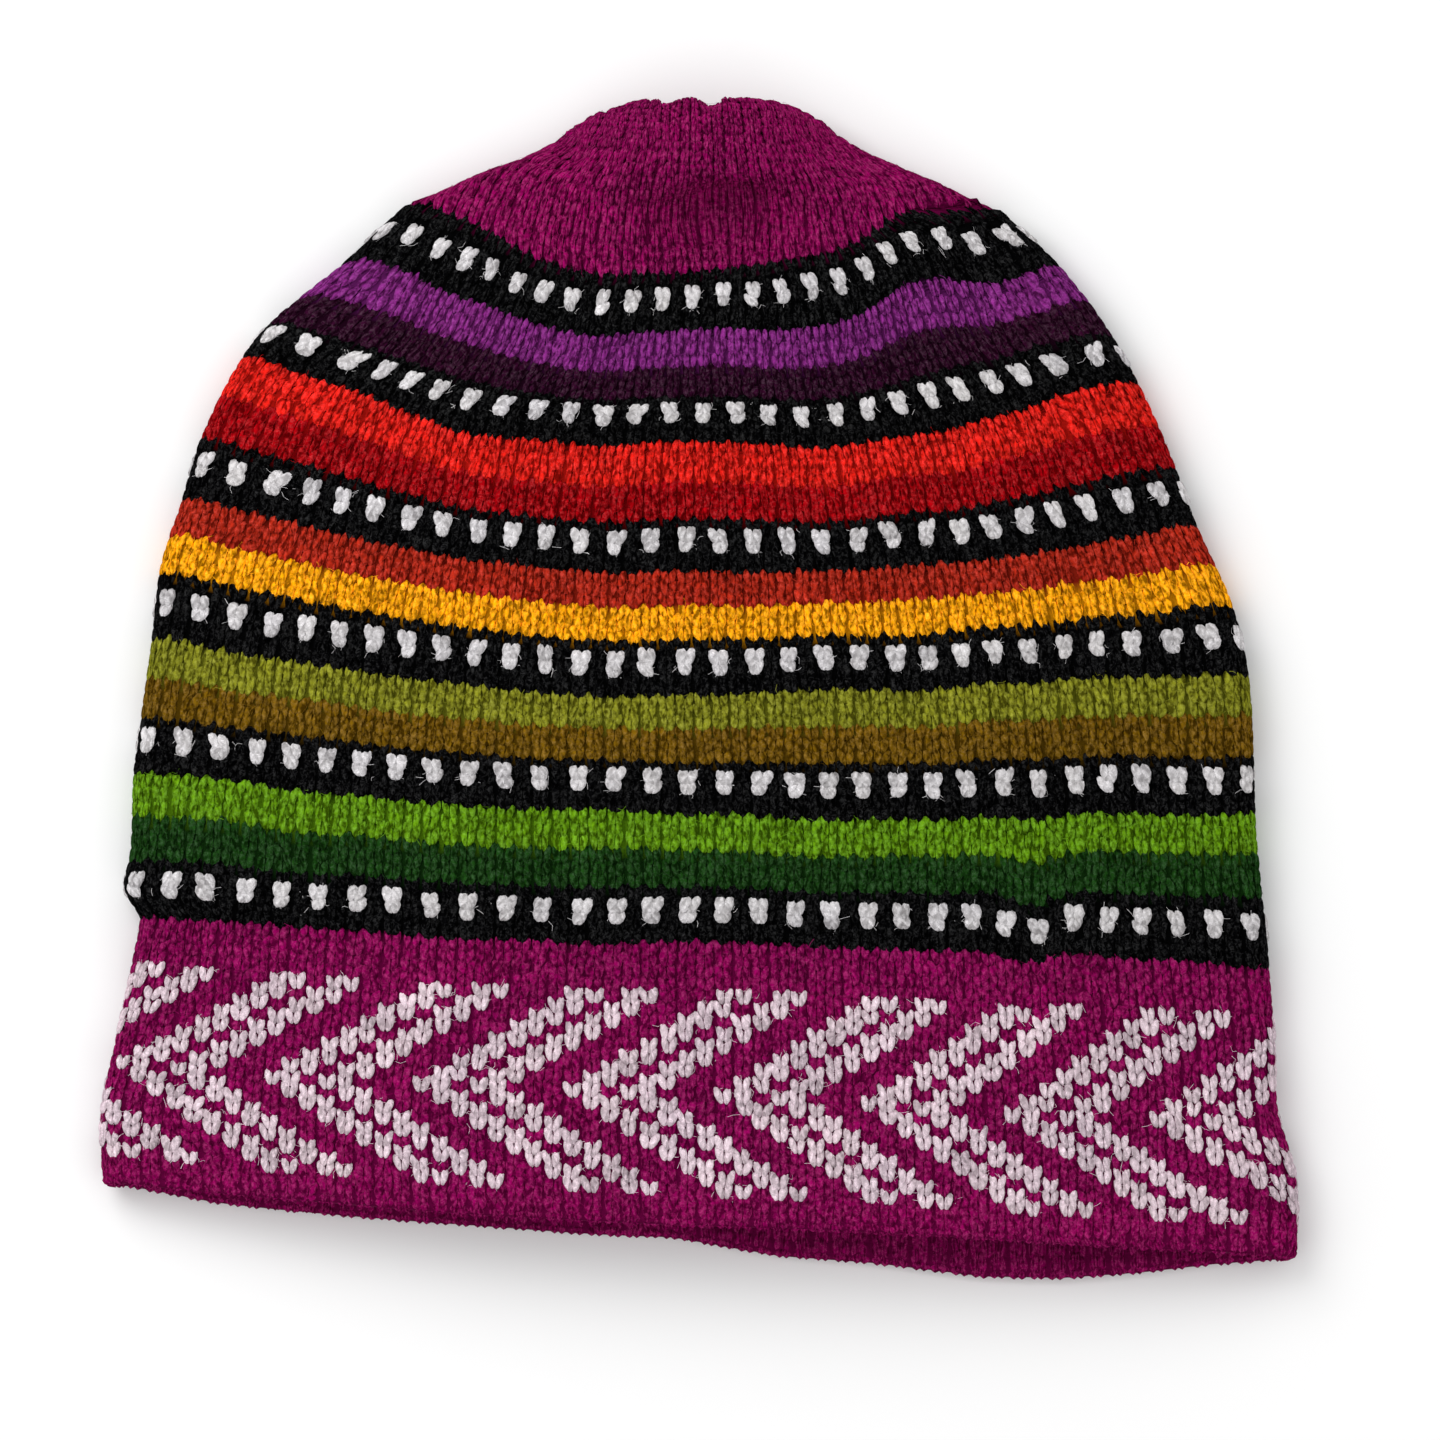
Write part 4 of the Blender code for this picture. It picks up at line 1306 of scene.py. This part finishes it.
def ground_colours(course):
    """The ground colour of a ring of cloth: the white yarn shows on the face alone."""
    number = min(max(math.floor(course + 0.5), 0), LAST_COURSE)
    yarn = "magenta" if number < BRIM_COURSES else stripe_of(number).yarn
    return np.tile(YARNS[yarn], (BACK_COLUMNS, 1))


def backing_sheet(name, rings, closes):
    """A cloth tube through rings, each a course and a height below the outer face."""
    columns = np.arange(BACK_COLUMNS) / BACK_COLUMNS
    points, colours, fibres = [], [], []
    for course, height in rings:
        around, place = drifted(columns, np.full(BACK_COLUMNS, course))
        around = steadied(around, place)
        ring = on_cloth(around, place, np.full(BACK_COLUMNS, height))
        ring[:, 2] = np.maximum(ring[:, 2], 0.05 * MM)
        points.append(ring)
        colours.append(ground_colours(course))
        wales = columns * wales_of(max(course, 0))
        fibres.append(np.column_stack((wales, np.full(BACK_COLUMNS, course), columns * 10)))
    rows, count = len(rings), BACK_COLUMNS
    flat = np.column_stack((np.tile(columns, rows), np.repeat(np.arange(rows) / rows, count)))
    ring = np.arange(rows if closes else rows - 1)[:, None]
    lower, upper = ring * count, (ring + 1) % rows * count
    k = np.arange(count)[None]
    after = (k + 1) % count
    quads = np.stack((lower + k, lower + after, upper + after, upper + k), axis=2).reshape(-1, 4)
    return make_piece(name, np.concatenate(points), quads, NO_TRIANGLES,
                      np.concatenate(colours), np.concatenate(fibres), flat, BACKING)


def rings_at(courses, height):
    """Rings at several courses, all at one height."""
    return [(course, height) for course in courses]


brim_rings = [(FIRST_COURSE, -TUCK), (FIRST_COURSE + 0.5, OUTER)]
brim_rings += [(course, OUTER + HEM_FILL * bump((course + TURN_COURSES / 2) / TURN_COURSES))
               for course in np.arange(FACING_FOOT + 1, BRIM_COURSES + 0.5)]
body_rings = rings_at(np.arange(BRIM_COURSES, CROWN_FOOT + 0.5), OUTER)
body_rings += rings_at(np.arange(CROWN_FOOT, BRIM_COURSES - 0.5, -1.0), -BODY_WALL)
crown_rings = rings_at(np.arange(CROWN_FOOT, LAST_COURSE - 0.4, 0.5), OUTER - 0.2 * MM)
crown_rings += [(LAST_COURSE - 0.1, depth * MM) for depth in (-1.3, -1.9)]
crown_rings += rings_at(np.arange(LAST_COURSE - 5, CROWN_FOOT - 0.5, -1.0), -CROWN_WALL)
BRIM_BACK = backing_sheet("brim_backing", brim_rings, False)
BODY_BACK = backing_sheet("body_backing", body_rings, True)
CROWN_BACK = backing_sheet("crown_backing", crown_rings, True)
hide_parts("brim")
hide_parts("striped_body")
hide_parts("crown")

# %% [markdown]
# ## Floor, light and camera
#
# The photograph looks straight down on the hat against plain white. A long lens keeps the
# outline free of perspective. One large lamp from the upper left shapes the folds and a pale
# sky fills the shade.

# %% Floor, light and camera
PHOTO_WIDE = 0.300
LENS = 300.0
SENSOR = 36.0
PHOTO_MIDDLE = (0.0044, -0.0062)
HAT_MIDDLE_Z = 0.010
FLOOR_HALF = 4.0
FLOOR_GREY = 0.93
KEY_PLACE = (-0.6, 0.6, 0.9)
KEY_SIZE = 0.8
KEY_POWER = 7.4
SKY_STRENGTH = 0.86


def pale_floor():
    """A large plain floor just under the hat."""
    mesh = bpy.data.meshes.new("floor")
    side = FLOOR_HALF
    mesh.from_pydata([(-side, -side, 0), (side, -side, 0), (side, side, 0), (-side, side, 0)],
                     [], [(0, 1, 2, 3)])
    floor = bpy.data.objects.new("floor", mesh)
    bpy.context.scene.collection.objects.link(floor)
    recipe = Recipe("pale_floor")
    recipe.shader.inputs["Base Color"].default_value = grey(FLOOR_GREY)
    recipe.shader.inputs["Roughness"].default_value = 1.0
    recipe.shader.inputs["Specular IOR Level"].default_value = 0.0
    mesh.materials.append(recipe.material)
    return floor


def lamp(name, place, size, power):
    """A square soft lamp aimed at the hat."""
    data = bpy.data.lights.new(name, "AREA")
    data.shape = "SQUARE"
    data.size = size
    data.energy = power
    made = bpy.data.objects.new(name, data)
    made.location = place
    direction = -made.location.normalized()
    made.rotation_euler = direction.to_track_quat("-Z", "Y").to_euler()
    bpy.context.scene.collection.objects.link(made)


pale_floor()
lamp("soft_key", KEY_PLACE, KEY_SIZE, KEY_POWER)
world = bpy.data.worlds.new("pale_sky")
world.use_nodes = True
world.node_tree.nodes["Background"].inputs["Color"].default_value = (1.0, 1.0, 1.0, 1.0)
world.node_tree.nodes["Background"].inputs["Strength"].default_value = SKY_STRENGTH
bpy.context.scene.world = world
bpy.context.scene.view_settings.view_transform = "Standard"

eye = bpy.data.cameras.new("eye")
eye.lens = LENS
eye.sensor_width = SENSOR
camera = bpy.data.objects.new("eye", eye)
camera.location = (*PHOTO_MIDDLE, HAT_MIDDLE_Z + PHOTO_WIDE * LENS / SENSOR)
bpy.context.scene.collection.objects.link(camera)
bpy.context.scene.camera = camera
print("camera", round(camera.location.z, 3), "m above the floor")

# %% [markdown]
# ## The cloth cut open
#
# The hat was knitted as a tube. Cut open it would be a strip: wales around by courses up. About
# an eighth of the body's full strip is missing, because wales are taken out on the way up.

# %% Cloth size
wales_of(CROWN_FOOT) * WALE
